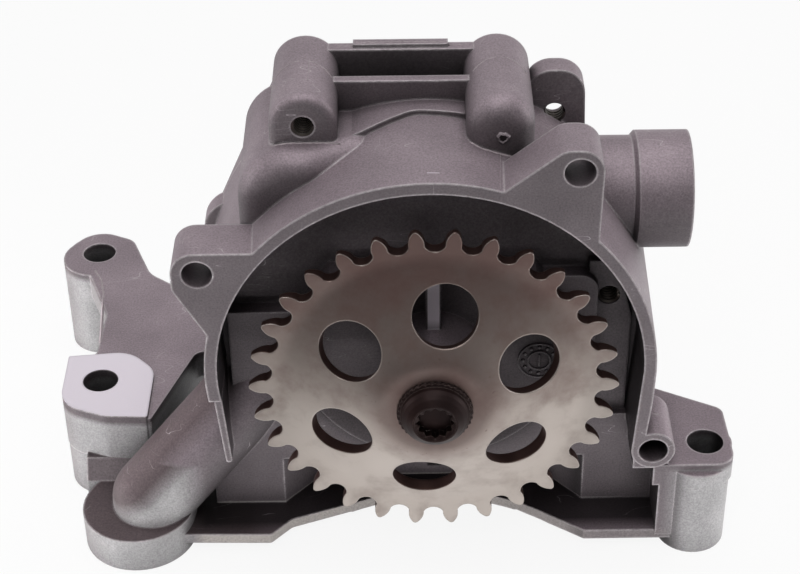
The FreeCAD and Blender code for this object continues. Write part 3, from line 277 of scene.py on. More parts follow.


# Casting: aluminium blasted after casting, so it is matt, grainy and slightly mauve from the blasting
# dust, with paler worn edges; its colour also carries painted light on up-facing faces and low leg walls,
# and painted shade in corners and recesses

castSettings = {
    "litUpFacing": "#9d8f96",        # faces that look up, painted lighter for the light from above
    "side": "#716a6d",       # upright faces, painted darker for the light that misses them
    "legSkinLitByTable": "#b9b7b8",    # smooth legs near the table, painted pale for the light the table throws on them
    "legDark": "#b0adaf",    # their mottling
    "channelShadeBrown": "#574a4c",      # brown painted shade on the foot and the top of the channel
    "recessShade": "#1f1b1c",     # painted shade on the inner side of the guard and the floor of the base
    "lipLitByTable": "#b9b2ae",        # front edge of the base, painted pale for the light from the table
    "edge": "#ded6d9",       # worn edges and scratches
    "cornerShade": "#1a1718",     # painted shade in corners
    "padMilledAndRibHighlight": "#f6edf7",        # milled face of the front left leg, and the painted highlight on the rib behind the wheel
    # as cast, and on the milled pad
    "finish": {"Roughness": (0.5, 0.42), "Metallic": (0.45, 0.1)},
    "grainStrength": 0.5,
    # sizes in millimetres
    "grain": 0.42,
    "grainDepth": 0.12,
    "blotch": 14.0,
    "mottle": 1.3,
    "stroke": 5.0,
    "edgeRadius": 0.9,
    "nook": 20.0,
    "strokeStretch": (0.35, 1.0, 2.2),    # scratches run mostly along X
    "recessShadeStrength": 0.85,                  # how far the painted shade hides the metal of the inner sides
    "shadeFacing": (-0.55, -0.2, 0.8),     # up and to the left
    "toGuardMiddle": (0.7 * mm, 0, -2.0 * mm),
    # what each mask reads, where it is off and where it is full, and its levels if not 0 and 1
    "masks": {
        "lookUp": ("faceZ", -0.1, 0.75),
        # smooth skin of the legs, painted pale where the table lights their low walls
        "upright": ("faceZ", 0.75, 0.3),
        "legSide": ("outward", 53 * mm, 60 * mm),
        "legLow": ("z", -27.5 * mm, -29 * mm),
        "mottled": ("mottle", 0.48, 0.66),
        # painted shade on what looks up around the outlet foot and on the channel's upper left side
        "shadeLeft": ("x", -30 * mm, -44 * mm),
        "shadeUp": ("slope", 0.4, 0.75, 0.0, 0.9),
        "shadeLow": ("z", -27.5 * mm, -28.5 * mm),
        "leanLeft": ("faceX", -0.1, -0.45),
        "belowDrum": ("z", 4 * mm, -6 * mm),
        # painted light: pale front edge of the base, lit from below by the table
        "lipLow": ("z", -46.0 * mm, -46.7 * mm),
        "lipFront": ("faceY", -0.3, -0.7),
        "lipWide": ("outward", 57 * mm, 54 * mm),
        "lipFade": ("x", 40 * mm, 10 * mm, 0.15, 1.0),
        # painted shade keeps the inner side of the guard and the floor under the wheel dark
        "inward": ("turnedIn", -0.4, -0.8),
        "nearGuard": ("reach", 50 * mm, 48.5 * mm),
        "floorLow": ("z", -44 * mm, -45 * mm),
        "floorIn": ("y", 2.5 * mm, 6 * mm),
        "faceLeft": ("faceX", -0.4, -0.8),
        "limbRight": ("x", 30 * mm, 34 * mm),
        # soft blotches and fine grit, as factors on the colour
        "blotchTone": ("blotch", 0.3, 0.7, 0.86, 1.12),
        "gritTone": ("grit", 0.3, 0.7, 0.74, 1.26),
        # edges worn bright in the open, a few pale scratches in some spots, and painted shade in the
        # corners
        "wear": ("turned", 0.985, 0.9),
        "broken": ("mottle", 0.35, 0.6, 0.35, 1.0),
        "inOpen": ("openness", 0.4, 0.7),
        "thin": ("contour", 0.005, 0.001),
        "some": ("blotch", 0.56, 0.64, 0.0, 0.6),
        "paintedShade": ("openness", 0.12, 0.66, 0.84, 0.0),
        # upper end of the rib behind the wheel, where its painted highlight fades in
        "ribHigh": ("z", 10 * mm, 14 * mm, 0.0, 0.6),
    },
    # sharp borders of the rib behind the wheel, where a highlight is painted bright, and of the pad, cut
    # flat after casting:
    # what each reads, how it compares, with which value, and the tolerance
    "borders": {
        "ribDeep": ("y", "COMPARE", 4.0 * mm, 0.15 * mm),
        "ribWide": ("x", "COMPARE", 0.0, 1.3 * mm),
        "padHigh": ("z", "GREATER_THAN", -26.0 * mm, 0.0),
        "padLow": ("z", "LESS_THAN", -25.4 * mm, 0.0),
        "padFlat": ("faceZ", "GREATER_THAN", 0.98, 0.0),
        "padSide": ("x", "LESS_THAN", -60 * mm, 0.0),
    },
    "joined": {
        "legs": ("MULTIPLY", "legSide", "legLow", "upright"),
        "shadeSlope": ("MULTIPLY", "leanLeft", "belowDrum"),
        "shadePlace": ("MAXIMUM", "shadeSlope", "shadeLow"),
        "channelShade": ("MULTIPLY", "shadeLeft", "shadeUp", "shadePlace"),
        "lipTableLight": ("MULTIPLY", "lipLow", "lipFront", "lipWide", "lipFade"),
        "guardIn": ("MULTIPLY", "inward", "nearGuard"),
        "floorOn": ("MULTIPLY", "floorLow", "floorIn", "lookUp", "lipWide"),
        "limbIn": ("MULTIPLY", "faceLeft", "limbRight", "belowDrum"),
        "recessShadeMask": ("MAXIMUM", "guardIn", "limbIn", "floorOn"),
        "speckle": ("MULTIPLY", "blotchTone", "gritTone"),
        "wornEdge": ("MULTIPLY", "wear", "broken", "inOpen"),
        "scratch": ("MULTIPLY", "thin", "some"),
        "marked": ("MAXIMUM", "wornEdge", "scratch"),
        "ribHighlight": ("MULTIPLY", "ribDeep", "ribWide", "ribHigh"),
        "padMilled": ("MULTIPLY", "padHigh", "padLow", "padFlat", "padSide"),
        "padOrRibHighlight": ("MAXIMUM", "padMilled", "ribHighlight"),
    },
}


def makeCasting(settings):
    material, tree, surface = newMaterial("blastedCastAluminium")
    place = addNode(tree, "TexCoord").outputs["Object"]
    shape = addNode(tree, "NewGeometry")
    facing = addNode(tree, "SeparateXYZ", links={0: shape.outputs["Normal"]})
    spot = addNode(tree, "SeparateXYZ", links={0: place})
    outward = addNode(tree, "Math", links={0: spot.outputs["X"]}, operation="ABSOLUTE")
    slope = addNode(tree, "VectorMath", {1: settings["shadeFacing"]}, {0: shape.outputs["Normal"]},
                    operation="DOT_PRODUCT")

    # distance from the middle of the guard, and how far a face turns away from it
    fromMiddle = addNode(tree, "VectorMath", {1: settings["toGuardMiddle"]}, {0: place}, operation="ADD")
    flatOut = addNode(tree, "VectorMath", {1: (1, 0, 1)}, {0: fromMiddle.outputs[0]}, operation="MULTIPLY")
    reach = addNode(tree, "VectorMath", links={0: flatOut.outputs[0]}, operation="LENGTH")
    spoke = addNode(tree, "VectorMath", links={0: flatOut.outputs[0]}, operation="NORMALIZE")
    turnedIn = addNode(tree, "VectorMath", links={0: spoke.outputs[0], 1: shape.outputs["Normal"]},
                       operation="DOT_PRODUCT")

    # mottling, soft blotches and fine grit
    mottle = addNode(tree, "TexNoise", {"Scale": perMm(settings["mottle"]), "Detail": 6.0,
                                        "Roughness": 0.75}, {"Vector": place})
    blotch = addNode(tree, "TexNoise", {"Scale": perMm(settings["blotch"]), "Detail": 4.0},
                     {"Vector": place})
    grit = addNode(tree, "TexNoise", {"Scale": perMm(settings["grain"]), "Detail": 3.0, "Roughness": 0.7},
                   {"Vector": place})
    # scratches are thin contour lines of a stretched noise
    stretched = addNode(tree, "VectorMath", {1: settings["strokeStretch"]}, {0: place},
                        operation="MULTIPLY")
    strokes = addNode(tree, "TexNoise", {"Scale": perMm(settings["stroke"]), "Detail": 1.0},
                      {"Vector": stretched.outputs[0]})
    centred = addNode(tree, "Math", {1: 0.5}, {0: strokes.outputs[0]}, operation="SUBTRACT")
    contour = addNode(tree, "Math", links={0: centred.outputs[0]}, operation="ABSOLUTE")
    # an edge is where the rounded normal leaves the true one
    rounded = addNode(tree, "Bevel", {"Radius": settings["edgeRadius"] * mm}, samples=6)
    turned = addNode(tree, "VectorMath", links={0: rounded.outputs[0], 1: shape.outputs["Normal"]},
                     operation="DOT_PRODUCT")
    openness = addNode(tree, "AmbientOcclusion", {"Distance": settings["nook"] * mm}, samples=8)

    measures = {
        "x": spot.outputs["X"], "y": spot.outputs["Y"], "z": spot.outputs["Z"],
        "faceX": facing.outputs["X"], "faceY": facing.outputs["Y"], "faceZ": facing.outputs["Z"],
        "outward": outward.outputs[0], "slope": slope.outputs["Value"], "reach": reach.outputs["Value"],
        "turnedIn": turnedIn.outputs["Value"], "mottle": mottle.outputs[0], "blotch": blotch.outputs[0],
        "grit": grit.outputs[0], "contour": contour.outputs[0], "turned": turned.outputs["Value"],
        "openness": openness.outputs["AO"],
    }
    for name, (measure, operation, value, tolerance) in settings["borders"].items():
        border = addNode(tree, "Math", {1: value, 2: tolerance}, {0: measures[measure]},
                         operation=operation)
        measures[name] = border.outputs[0]
    masks = makeMasks(tree, measures, settings)
    # painted shade in the recesses, at its strength
    recessShadeAmount = addNode(tree, "Math", {1: settings["recessShadeStrength"]}, {0: masks["recessShadeMask"]},
                         operation="MULTIPLY")
    masks["recessShadeAmount"] = recessShadeAmount.outputs[0]

    # painted light: mauve and lighter on faces that look up, greyer and darker on upright faces, pale on
    # the low leg walls that the table lights
    toneByLight = addNode(tree, "Mix", {6: toLinear(settings["side"]), 7: toLinear(settings["litUpFacing"])},
                   {0: masks["lookUp"]}, data_type="RGBA")
    litLegSkin = addNode(tree, "Mix", {6: toLinear(settings["legSkinLitByTable"]), 7: toLinear(settings["legDark"])},
                   {0: masks["mottled"]}, data_type="RGBA")
    toneLegs = addNode(tree, "Mix", links={0: masks["legs"], 6: toneByLight.outputs[2], 7: litLegSkin.outputs[2]},
                       data_type="RGBA")
    # painted shade on the channel and in the recesses, and painted light on the base's front edge
    stained = layColours(tree, toneLegs.outputs[2], settings, masks,
                         (("channelShadeBrown", "channelShade"), ("lipLitByTable", "lipTableLight"), ("recessShade", "recessShadeAmount")))
    speckled = addNode(tree, "VectorMath", links={0: stained, "Scale": masks["speckle"]}, operation="SCALE")
    # painted shade in the corners and painted highlight on the rib, over worn edges and the milled pad
    finished = layColours(tree, speckled.outputs[0], settings, masks,
                          (("edge", "marked"), ("cornerShade", "paintedShade"), ("padMilledAndRibHighlight", "padOrRibHighlight")))

    for socket, (cast, milled) in settings["finish"].items():
        level = addNode(tree, "MapRange", {"To Min": cast, "To Max": milled}, {"Value": masks["padMilled"]})
        tree.links.new(level.outputs[0], surface.inputs[socket])
    gritHeight = addNode(tree, "Math", {1: 0.5}, {0: grit.outputs[0]}, operation="SUBTRACT")
    relief = addNode(tree, "Bump", {"Strength": settings["grainStrength"],
                                    "Distance": settings["grainDepth"] * mm},
                     {"Height": gritHeight.outputs[0], "Normal": rounded.outputs[0]})
    tree.links.new(finished, surface.inputs["Base Color"])
    tree.links.new(relief.outputs[0], surface.inputs["Normal"])
    return material


# Chain wheel: steel pressed and hardened, so it is satin and warm, brownish on the cut teeth

sprocketSettings = {
    "face": "#bdb3ac",
    "stain": "#8d7f79",      # cloudy stains on the faces
    "hubStain": "#6b5450",   # brown oil that crept out from under the bolt, and its spots
    "upper": "#826560",      # painted shade: the upper half darker and browner, for the dim room it mirrors
    "cut": "#765c57",        # flanks of the teeth and walls of the holes
    "edge": "#e9e2da",
    "metallic": 0.9,
    "grainStrength": 0.12,
    # sizes in millimetres
    "stainSize": 9.0,
    "spotSize": 1.3,
    "edgeRadius": 0.6,
    "grain": 0.35,
    "grainDepth": 0.05,
    "drift": 30.0,           # how far the stains push the border of the painted darker half
    "masks": {
        "stained": ("stain", 0.48, 0.75, 0.0, 0.55),
        "spotted": ("spots", 0.68, 0.78, 0.0, 0.6),
        "nearHub": ("radius", 24 * mm, 11 * mm),
        "crept": ("radius", 18 * mm, 9 * mm, 0.0, 0.75),
        "upperHalfShade": ("level", 8 * mm, 48 * mm, 0.0, 0.85),
        "cutFace": ("sideways", 0.75, 0.4),
        "wear": ("turned", 0.93, 0.72, 0.0, 0.8),
        "broken": ("stain", 0.4, 0.6, 0.15, 1.0),
        "rough": ("stain", 0.3, 0.7, 0.31, 0.48),
    },
    "joined": {
        "hubSpots": ("MULTIPLY", "spotted", "nearHub"),
        "worn": ("MULTIPLY", "wear", "broken"),
    },
}


def makeSprocketSteel(settings):
    material, tree, surface = newMaterial("hardenedPressedSteel")
    place = addNode(tree, "TexCoord").outputs["Object"]
    shape = addNode(tree, "NewGeometry")
    facing = addNode(tree, "SeparateXYZ", links={0: shape.outputs["Normal"]})
    flat = addNode(tree, "VectorMath", {1: (1, 0, 1)}, {0: place}, operation="MULTIPLY")
    radius = addNode(tree, "VectorMath", links={0: flat.outputs[0]}, operation="LENGTH")
    stain = addNode(tree, "TexNoise", {"Scale": perMm(settings["stainSize"]), "Detail": 5.0,
                                       "Roughness": 0.6}, {"Vector": place})
    spots = addNode(tree, "TexNoise", {"Scale": perMm(settings["spotSize"]), "Detail": 2.0},
                    {"Vector": place})
    spot = addNode(tree, "SeparateXYZ", links={0: place})
    drift = addNode(tree, "Math", {1: settings["drift"] * mm}, {0: stain.outputs[0]}, operation="MULTIPLY")
    level = addNode(tree, "Math", links={0: spot.outputs["Z"], 1: drift.outputs[0]}, operation="ADD")
    sideways = addNode(tree, "Math", links={0: facing.outputs["Y"]}, operation="ABSOLUTE")
    rounded = addNode(tree, "Bevel", {"Radius": settings["edgeRadius"] * mm}, samples=6)
    turned = addNode(tree, "VectorMath", links={0: rounded.outputs[0], 1: shape.outputs["Normal"]},
                     operation="DOT_PRODUCT")
    masks = makeMasks(tree, {
        "stain": stain.outputs[0], "spots": spots.outputs[0], "radius": radius.outputs["Value"],
        "level": level.outputs[0], "sideways": sideways.outputs[0], "turned": turned.outputs["Value"],
    }, settings)
    toned = addNode(tree, "Mix", {6: toLinear(settings["face"]), 7: toLinear(settings["stain"])},
                    {0: masks["stained"]}, data_type="RGBA")
    # stains, then the painted shade of the upper half, cut faces and worn edges
    finished = layColours(tree, toned.outputs[2], settings, masks,
                          (("hubStain", "hubSpots"), ("hubStain", "crept"), ("upper", "upperHalfShade"),
                           ("cut", "cutFace"), ("edge", "worn")))
    grain = addNode(tree, "TexNoise", {"Scale": perMm(settings["grain"]), "Detail": 2.0}, {"Vector": place})
    relief = addNode(tree, "Bump", {"Strength": settings["grainStrength"],
                                    "Distance": settings["grainDepth"] * mm},
                     {"Height": grain.outputs[0], "Normal": rounded.outputs[0]})
    surface.inputs["Metallic"].default_value = settings["metallic"]
    tree.links.new(finished, surface.inputs["Base Color"])
    tree.links.new(masks["rough"], surface.inputs["Roughness"])
    tree.links.new(relief.outputs[0], surface.inputs["Normal"])
    return material


# Simple metals, rubber and a nearly black pit: each has its own colour, grain and edge, and painted shade
# in its nooks, from one recipe

# what a finish has where it names nothing else; cloud, bevel, nook and depth are in millimetres
plainDefaults = {
    "cloud": 6.0,
    "bevel": 0.25,
    "nook": 3.0,
    "grainDepth": 0.06,
    # painted shade in nooks: its strength and colour
    "paintedShade": 0.5,
    "paintedShadeColour": "#171313",
}

plainSettings = {
    # flash of the die, paler than the casting where hands rub it
    "rubbedFlash": {"base": "#c3b7bb", "other": "#8f8488", "edge": "#ded5d8", "metallic": 0.4,
                    "roughness": 0.5, "grain": 0.5, "relief": 0.2, "bevel": 0.08, "paintedShade": 0.2},
    # a nearly black disc that fills the pit, half dull
    "nearBlackPit": {"base": "#1d1818", "other": "#120f0f", "edge": "#2a2424", "metallic": 0.0,
                 "roughness": 0.5, "grain": 0.4, "relief": 0.2},
    # phosphate on the wheel bolt, a reddish brown with oil in it, half dull, with painted shade deep in its
    # socket
    "phosphatedBolt": {"base": "#33211f", "other": "#1b1213", "edge": "#7d706a", "metallic": 0.7,
                       "roughness": 0.42, "grain": 0.6, "relief": 0.2, "paintedShade": 0.95, "nook": 4.0},
    # zinc on the cover screws and the plug, even and slightly blue
    "zincPlatedSteel": {"base": "#b9babb", "other": "#96989c", "edge": "#dcdde0", "metallic": 0.9,
                        "roughness": 0.34, "grain": 0.8, "relief": 0.08},
    # ground shafts, pins and keys, bright with a fine grain
    "groundSteel": {"base": "#b5b5b8", "other": "#8f8f94", "edge": "#e0e0e3", "metallic": 1.0,
                    "roughness": 0.22, "grain": 0.3, "relief": 0.05},
    # sintered gears, grey and slightly porous
    "sinteredSteel": {"base": "#7e7e80", "other": "#5c5c5f", "edge": "#b3b3b6", "metallic": 0.85,
                      "roughness": 0.45, "grain": 0.35, "relief": 0.25},
    # bored bronze of the bushes
    "bearingBronze": {"base": "#b08d57", "other": "#8a6c40", "edge": "#d9b984", "metallic": 1.0,
                      "roughness": 0.35, "grain": 0.5, "relief": 0.08},
    # drawn spring wire, dark and oily
    "springWire": {"base": "#5a5a5e", "other": "#3c3c40", "edge": "#8d8d92", "metallic": 0.95,
                   "roughness": 0.3, "grain": 0.4, "relief": 0.05},
    # threads cut into the casting, bare metal, with painted shade in the roots
    "cutThread": {"base": "#928a84", "other": "#443d39", "edge": "#e6e1db", "metallic": 0.95,
                  "roughness": 0.28, "grain": 0.5, "relief": 0.1, "bevel": 0.03, "paintedShade": 1.0, "nook": 1.6},
    # soft aluminium washer
    "softAluminium": {"base": "#c8c9cb", "other": "#a9aaae", "edge": "#e8e8ea", "metallic": 0.95,
                      "roughness": 0.38, "grain": 0.5, "relief": 0.08},
    # moulded nitrile rubber of the rings
    "nitrileRubber": {"base": "#1c1c1d", "other": "#111112", "edge": "#2c2c2e", "metallic": 0.0,
                      "roughness": 0.55, "grain": 0.4, "relief": 0.1},
}


def makePlain(name, ownSettings):
    settings = {**plainDefaults, **ownSettings}
    material, tree, surface = newMaterial(name)
    place = addNode(tree, "TexCoord").outputs["Object"]
    shape = addNode(tree, "NewGeometry")
    cloud = addNode(tree, "TexNoise", {"Scale": perMm(settings["cloud"]), "Detail": 4.0}, {"Vector": place})
    toned = addNode(tree, "Mix", {6: toLinear(settings["base"]), 7: toLinear(settings["other"])},
                    {0: cloud.outputs[0]}, data_type="RGBA")
    rounded = addNode(tree, "Bevel", {"Radius": settings["bevel"] * mm}, samples=4)
    turned = addNode(tree, "VectorMath", links={0: rounded.outputs[0], 1: shape.outputs["Normal"]},
                     operation="DOT_PRODUCT")
    openness = addNode(tree, "AmbientOcclusion", {"Distance": settings["nook"] * mm}, samples=4)
    measures = {"cloud": cloud.outputs[0], "turned": turned.outputs["Value"],
                "openness": openness.outputs["AO"]}
    masks = makeMasks(tree, measures, {"masks": {
        "wear": ("turned", 0.96, 0.78, 0.0, 0.7),
        # painted shade where the nook closes in
        "paintedShade": ("openness", 0.15, 0.75, settings["paintedShade"], 0.0),
        "rough": ("cloud", 0.3, 0.7, settings["roughness"] - 0.06, settings["roughness"] + 0.1),
    }})
    finished = layColours(tree, toned.outputs[2], settings, masks,
                          (("edge", "wear"), ("paintedShadeColour", "paintedShade")))
    grain = addNode(tree, "TexNoise", {"Scale": perMm(settings["grain"]), "Detail": 3.0}, {"Vector": place})
    relief = addNode(tree, "Bump", {"Strength": settings["relief"],
                                    "Distance": settings["grainDepth"] * mm},
                     {"Height": grain.outputs[0], "Normal": rounded.outputs[0]})
    surface.inputs["Metallic"].default_value = settings["metallic"]
    tree.links.new(finished, surface.inputs["Base Color"])
    tree.links.new(masks["rough"], surface.inputs["Roughness"])
    tree.links.new(relief.outputs[0], surface.inputs["Normal"])
    return material


materials = {name: makePlain(name, settings) for name, settings in plainSettings.items()}
materials["casting"] = makeCasting(castSettings)
materials["sprocketSteel"] = makeSprocketSteel(sprocketSettings)
print("materials made:", len(materials))

nodeFinish = {
    "pump_housing": "casting", "rear_cover": "casting", "sprocket": "sprocketSteel",
    "sprocket_bolt": "phosphatedBolt", "cover_screws": "zincPlatedSteel", "relief_plug": "zincPlatedSteel",
    "drive_shaft": "groundSteel", "idler_shaft": "groundSteel", "cover_dowels": "groundSteel",
    "drive_gear_key": "groundSteel", "sprocket_pin": "groundSteel", "relief_piston": "groundSteel",
    "drive_gear": "sinteredSteel", "idler_gear": "sinteredSteel", "front_bush": "bearingBronze",
    "rear_bush": "bearingBronze", "idler_bush": "bearingBronze", "relief_spring": "springWire",
    "relief_washer": "softAluminium", "outlet_o_ring": "nitrileRubber", "intake_o_ring": "nitrileRubber",
}
for nodeName, finish in nodeFinish.items():
    mesh = nodes[nodeName].data
    mesh.materials.clear()
    mesh.materials.append(materials[finish])
print("finishes on", len(nodeFinish), "nodes")


# Threads in the tapped holes: one ridge with a narrow flat crest, wound round each hole

threadSettings = {
    "pitch": 1.0,
    "crest": 2.0,  # radius that the ridge reaches in to
    "root": 2.55,  # radius inside the wall where it starts
    "halfWidth": 0.42,
    "halfCrest": 0.13,
    "stepsPerTurn": 28,
    "holes": [
        {"name": "thread_top_boss", "x": -27.5, "z": 55.0, "start": 18.5, "turns": 14},
        {"name": "thread_ear", "x": 39.5, "z": 12.2, "start": 15.6, "turns": 12},
        {"name": "thread_rear_lug", "x": 27.8, "z": 45.2, "start": 39.9, "turns": 4},
    ],
}


def makeThread(settings, hole, material):
    builder = bmesh.new()
    centre = Vector((hole["x"], hole["start"], hole["z"])) * mm
    outline = [(settings["root"], -settings["halfWidth"]), (settings["crest"], -settings["halfCrest"]),
               (settings["crest"], settings["halfCrest"]), (settings["root"], settings["halfWidth"])]
    corners = [builder.verts.new(centre + Vector((radius, along, 0)) * mm) for radius, along in outline]
    edges = [builder.edges.new((corners[i], corners[i - 1])) for i in range(len(corners))]
    builder.faces.new(corners)
    steps = settings["stepsPerTurn"] * hole["turns"]
    wound = bmesh.ops.spin(builder, geom=corners + edges, cent=centre, axis=(0, 1, 0),
                           dvec=(0, settings["pitch"] * mm / settings["stepsPerTurn"], 0),
                           angle=2 * math.pi * hole["turns"], steps=steps)
    last = [item for item in wound["geom_last"] if isinstance(item, bmesh.types.BMVert)]
    builder.faces.new(last)
    finishPiece(hole["name"], builder, material, "housing")


for hole in threadSettings["holes"]:
    makeThread(threadSettings, hole, materials["cutThread"])
print("threads made:", len(threadSettings["holes"]))


# Dial cast into the pad behind the wheel: two rings, a ring of dots and a pointer, all without text

dialSettings = {
    "x": 24.0, "y": 11.0, "z": -2.9,
    "rings": [4.9, 2.7],
    "ringWidth": 0.35,
    "height": 0.35,
    "sink": 0.1,
    "steps": 40,
    "dots": 12,
    "dotCircle": 3.65,
    "dotRadius": 0.5,
    "dotTop": 0.35,
    "dotSides": 10,
    "pointer": (0.5, 3.2),
}


def makeDial(settings, material):
    builder = bmesh.new()
    place = Matrix.Translation(Vector((settings["x"], settings["y"], settings["z"])) * mm)
    place = place @ alongWheel
    high, low = settings["height"], -settings["sink"]
    for radius in settings["rings"]:
        inner = radius - settings["ringWidth"]
        outline = [(radius, low), (radius, high), (inner, high), (inner, low)]
        corners = [builder.verts.new(place @ (Vector((r, 0, h)) * mm)) for r, h in outline]
        edges = [builder.edges.new((corners[i], corners[i - 1])) for i in range(len(corners))]
        bmesh.ops.spin(builder, geom=corners + edges, cent=place.translation, axis=(0, 1, 0),
                       angle=2 * math.pi, steps=settings["steps"], use_merge=True)
    for i in range(settings["dots"]):
        spot = Matrix.Rotation(2 * math.pi * i / settings["dots"], 4, "Z")
        spot = spot @ Matrix.Translation((settings["dotCircle"] * mm, 0, high / 2 * mm))
        bmesh.ops.create_cone(builder, cap_ends=True, segments=settings["dotSides"],
                              radius1=settings["dotRadius"] * mm, radius2=settings["dotTop"] * mm,
                              depth=high * mm, matrix=place @ spot)
    width, length = settings["pointer"]
    bar = Matrix.Translation((0, 0, high / 2 * mm))
    bar = bar @ Matrix.Diagonal((width * mm, length * mm, high * mm, 1))
    bmesh.ops.create_cube(builder, size=1.0, matrix=place @ bar)
    finishPiece("cast_dial", builder, material, "housing")


makeDial(dialSettings, materials["casting"])
print("dial made")


# Flash that the die leaves on the casting: low uneven ridges, laid on the housing along straight rays

flashSettings = {
    "step": 0.7,
    "sink": 0.12,
    "ceiling": 62.28,  # rubbed flat on the crowns of the bosses
    # the share that stays and the share that wavers, and the waves in radians per step
    "heightShare": (0.65, 0.35),
    "heightWaves": (1.7, 0.43),
    "widthShare": (0.8, 0.3),
    "widthWave": 2.3,
    "rayStart": 200.0,
    "ray": (0, 0, -1),
    # points are X and Y, and the ridge lies on what the ray meets there
    "lines": [
        {"name": "flash_left_boss", "width": 0.5, "height": 0.22,
         "points": [(-33.5, 31.8), (-31.0, 33.2), (-27.5, 33.8), (-24.0, 33.2), (-21.4, 31.8)]},
        {"name": "flash_left_boss_seam", "width": 0.4, "height": 0.18,
         "points": [(-26.3, 33.6), (-26.3, 25.5)]},
        {"name": "flash_right_boss", "width": 0.5, "height": 0.22,
         "points": [(9.2, 32.6), (12.0, 34.0), (15.0, 34.4), (18.0, 34.0), (20.8, 32.6)]},
        {"name": "flash_right_boss_seam", "width": 0.4, "height": 0.18,
         "points": [(14.4, 34.2), (14.4, 27.5)]},
        {"name": "flash_left_boss_foot", "width": 0.7, "height": 0.35,
         "points": [(-34.2, 17.6), (-19.6, 17.6)]},
        {"name": "flash_right_boss_foot", "width": 0.7, "height": 0.3,
         "points": [(8.0, 16.6), (10.6, 14.7), (14.4, 14.2), (18.6, 14.6), (21.6, 16.8)]},
        {"name": "flash_drum_seam", "width": 0.35, "height": 0.14,
         "points": [(14.4, 14.0), (13.9, 1.0)]},
        {"name": "flash_gate", "width": 1.1, "height": 0.4,
         "points": [(-87.6, 82.0), (-85.4, 77.5), (-84.3, 72.0), (-83.6, 64.0), (-83.0, 56.0),
                    (-82.4, 50.5)]},
        {"name": "flash_rear_rib", "width": 0.5, "height": 0.2,
         "points": [(-20.5, 43.6), (8.0, 43.6)]},
    ],
}


def makeHousingTree():
    housing = nodes["pump_housing"]
    corners = [housing.matrix_world @ vert.co for vert in housing.data.vertices]
    return BVHTree.FromPolygons(corners, [tuple(face.vertices) for face in housing.data.polygons])


def makeFlash(settings, line, surfaceTree, material):
    builder = bmesh.new()
    ray = Vector(settings["ray"])
    steadyHeight, looseHeight = settings["heightShare"]
    quick, slow = settings["heightWaves"]
    steadyWidth, looseWidth = settings["widthShare"]
    spots = []
    for first, second in zip(line["points"], line["points"][1:]):
        run = Vector(second) - Vector(first)
        count = max(1, round(run.length / settings["step"]))
        spots += [Vector(first) + run * i / count for i in range(count)]
    spots.append(Vector(line["points"][-1]))
    hits = []
    for spot in spots:
        start = Vector((spot.x * mm, spot.y * mm, settings["rayStart"] * mm))
        place, normal, _, _ = surfaceTree.ray_cast(start, ray)
        if place is not None:
            hits.append((place, normal))
    previous = None
    for i, (place, normal) in enumerate(hits):
        before, after = hits[max(i - 1, 0)][0], hits[min(i + 1, len(hits) - 1)][0]
        side = (after - before).cross(normal).normalized()
        # height and width waver along the line
        uneven = steadyHeight + looseHeight * math.sin(i * quick) * math.cos(i * slow)
        half = line["width"] / 2 * mm * (steadyWidth + looseWidth * math.sin(i * settings["widthWave"]))
        low = place - normal * settings["sink"] * mm
        peak = place + normal * line["height"] * uneven * mm
        peak.z = min(peak.z, settings["ceiling"] * mm)
        corners = [builder.verts.new(point) for point in (low - side * half, peak, low + side * half)]
        if previous:
            for a, b in ((0, 1), (1, 2), (2, 0)):
                builder.faces.new((previous[a], corners[a], corners[b], previous[b]))
        else:
            builder.faces.new(corners)
        previous = corners
    builder.faces.new(previous)
    finishPiece(line["name"], builder, material, "housing")


housingTree = makeHousingTree()
for line in flashSettings["lines"]:
    makeFlash(flashSettings, line, housingTree, materials["rubbedFlash"])
print("flash lines made:", len(flashSettings["lines"]))


# Broken vent stub on the right boss's nose: a ragged ring round a nearly black pit

ventSettings = {
    "x": 15.0, "y": 15.0, "z": 53.6,
    "outline": [(1.5, 0.1), (1.3, -0.35), (0.95, -0.55), (0.7, -0.3)],
    "steps": 26,
    "ripples": [(3, 0.1, 0.7), (7, 0.07, 0.0)],  # waves round the rim, their share and their start
    "pitRadius": 0.8,
    "pitPlace": -0.12,
    "pitThickness": 0.1,
    "pitSides": 24,
}


def makeVent(settings, ringMaterial, pitMaterial):
    centre = Vector((settings["x"], settings["y"], settings["z"])) * mm
    builder = bmesh.new()
    outline = settings["outline"]
    corners = [builder.verts.new(centre + Vector((radius, along, 0)) * mm) for radius, along in outline]
    edges = [builder.edges.new(pair) for pair in zip(corners, corners[1:])]
    bmesh.ops.spin(builder, geom=corners + edges, cent=centre, axis=(0, 1, 0), angle=2 * math.pi,
                   steps=settings["steps"], use_merge=True)
    for vert in builder.verts:
        turn = math.atan2(vert.co.z - centre.z, vert.co.x - centre.x)
        ragged = 1
        for waves, share, start in settings["ripples"]:
            ragged += share * math.sin(turn * waves + start)
        vert.co.x = centre.x + (vert.co.x - centre.x) * ragged
        vert.co.z = centre.z + (vert.co.z - centre.z) * ragged
    finishPiece("vent_ring", builder, ringMaterial, "housing")
    pit = bmesh.new()
    turned = Matrix.Translation(centre + Vector((0, settings["pitPlace"], 0)) * mm) @ alongWheel
    bmesh.ops.create_cone(pit, cap_ends=True, segments=settings["pitSides"],
                          radius1=settings["pitRadius"] * mm, radius2=settings["pitRadius"] * mm,
                          depth=settings["pitThickness"] * mm, matrix=turned)
    finishPiece("vent_pit", pit, pitMaterial, "housing")


makeVent(ventSettings, materials["casting"], materials["nearBlackPit"])
print("vent mark made")


# Relief spring: wound again from round wire, in place of the CAD spring, which is hidden

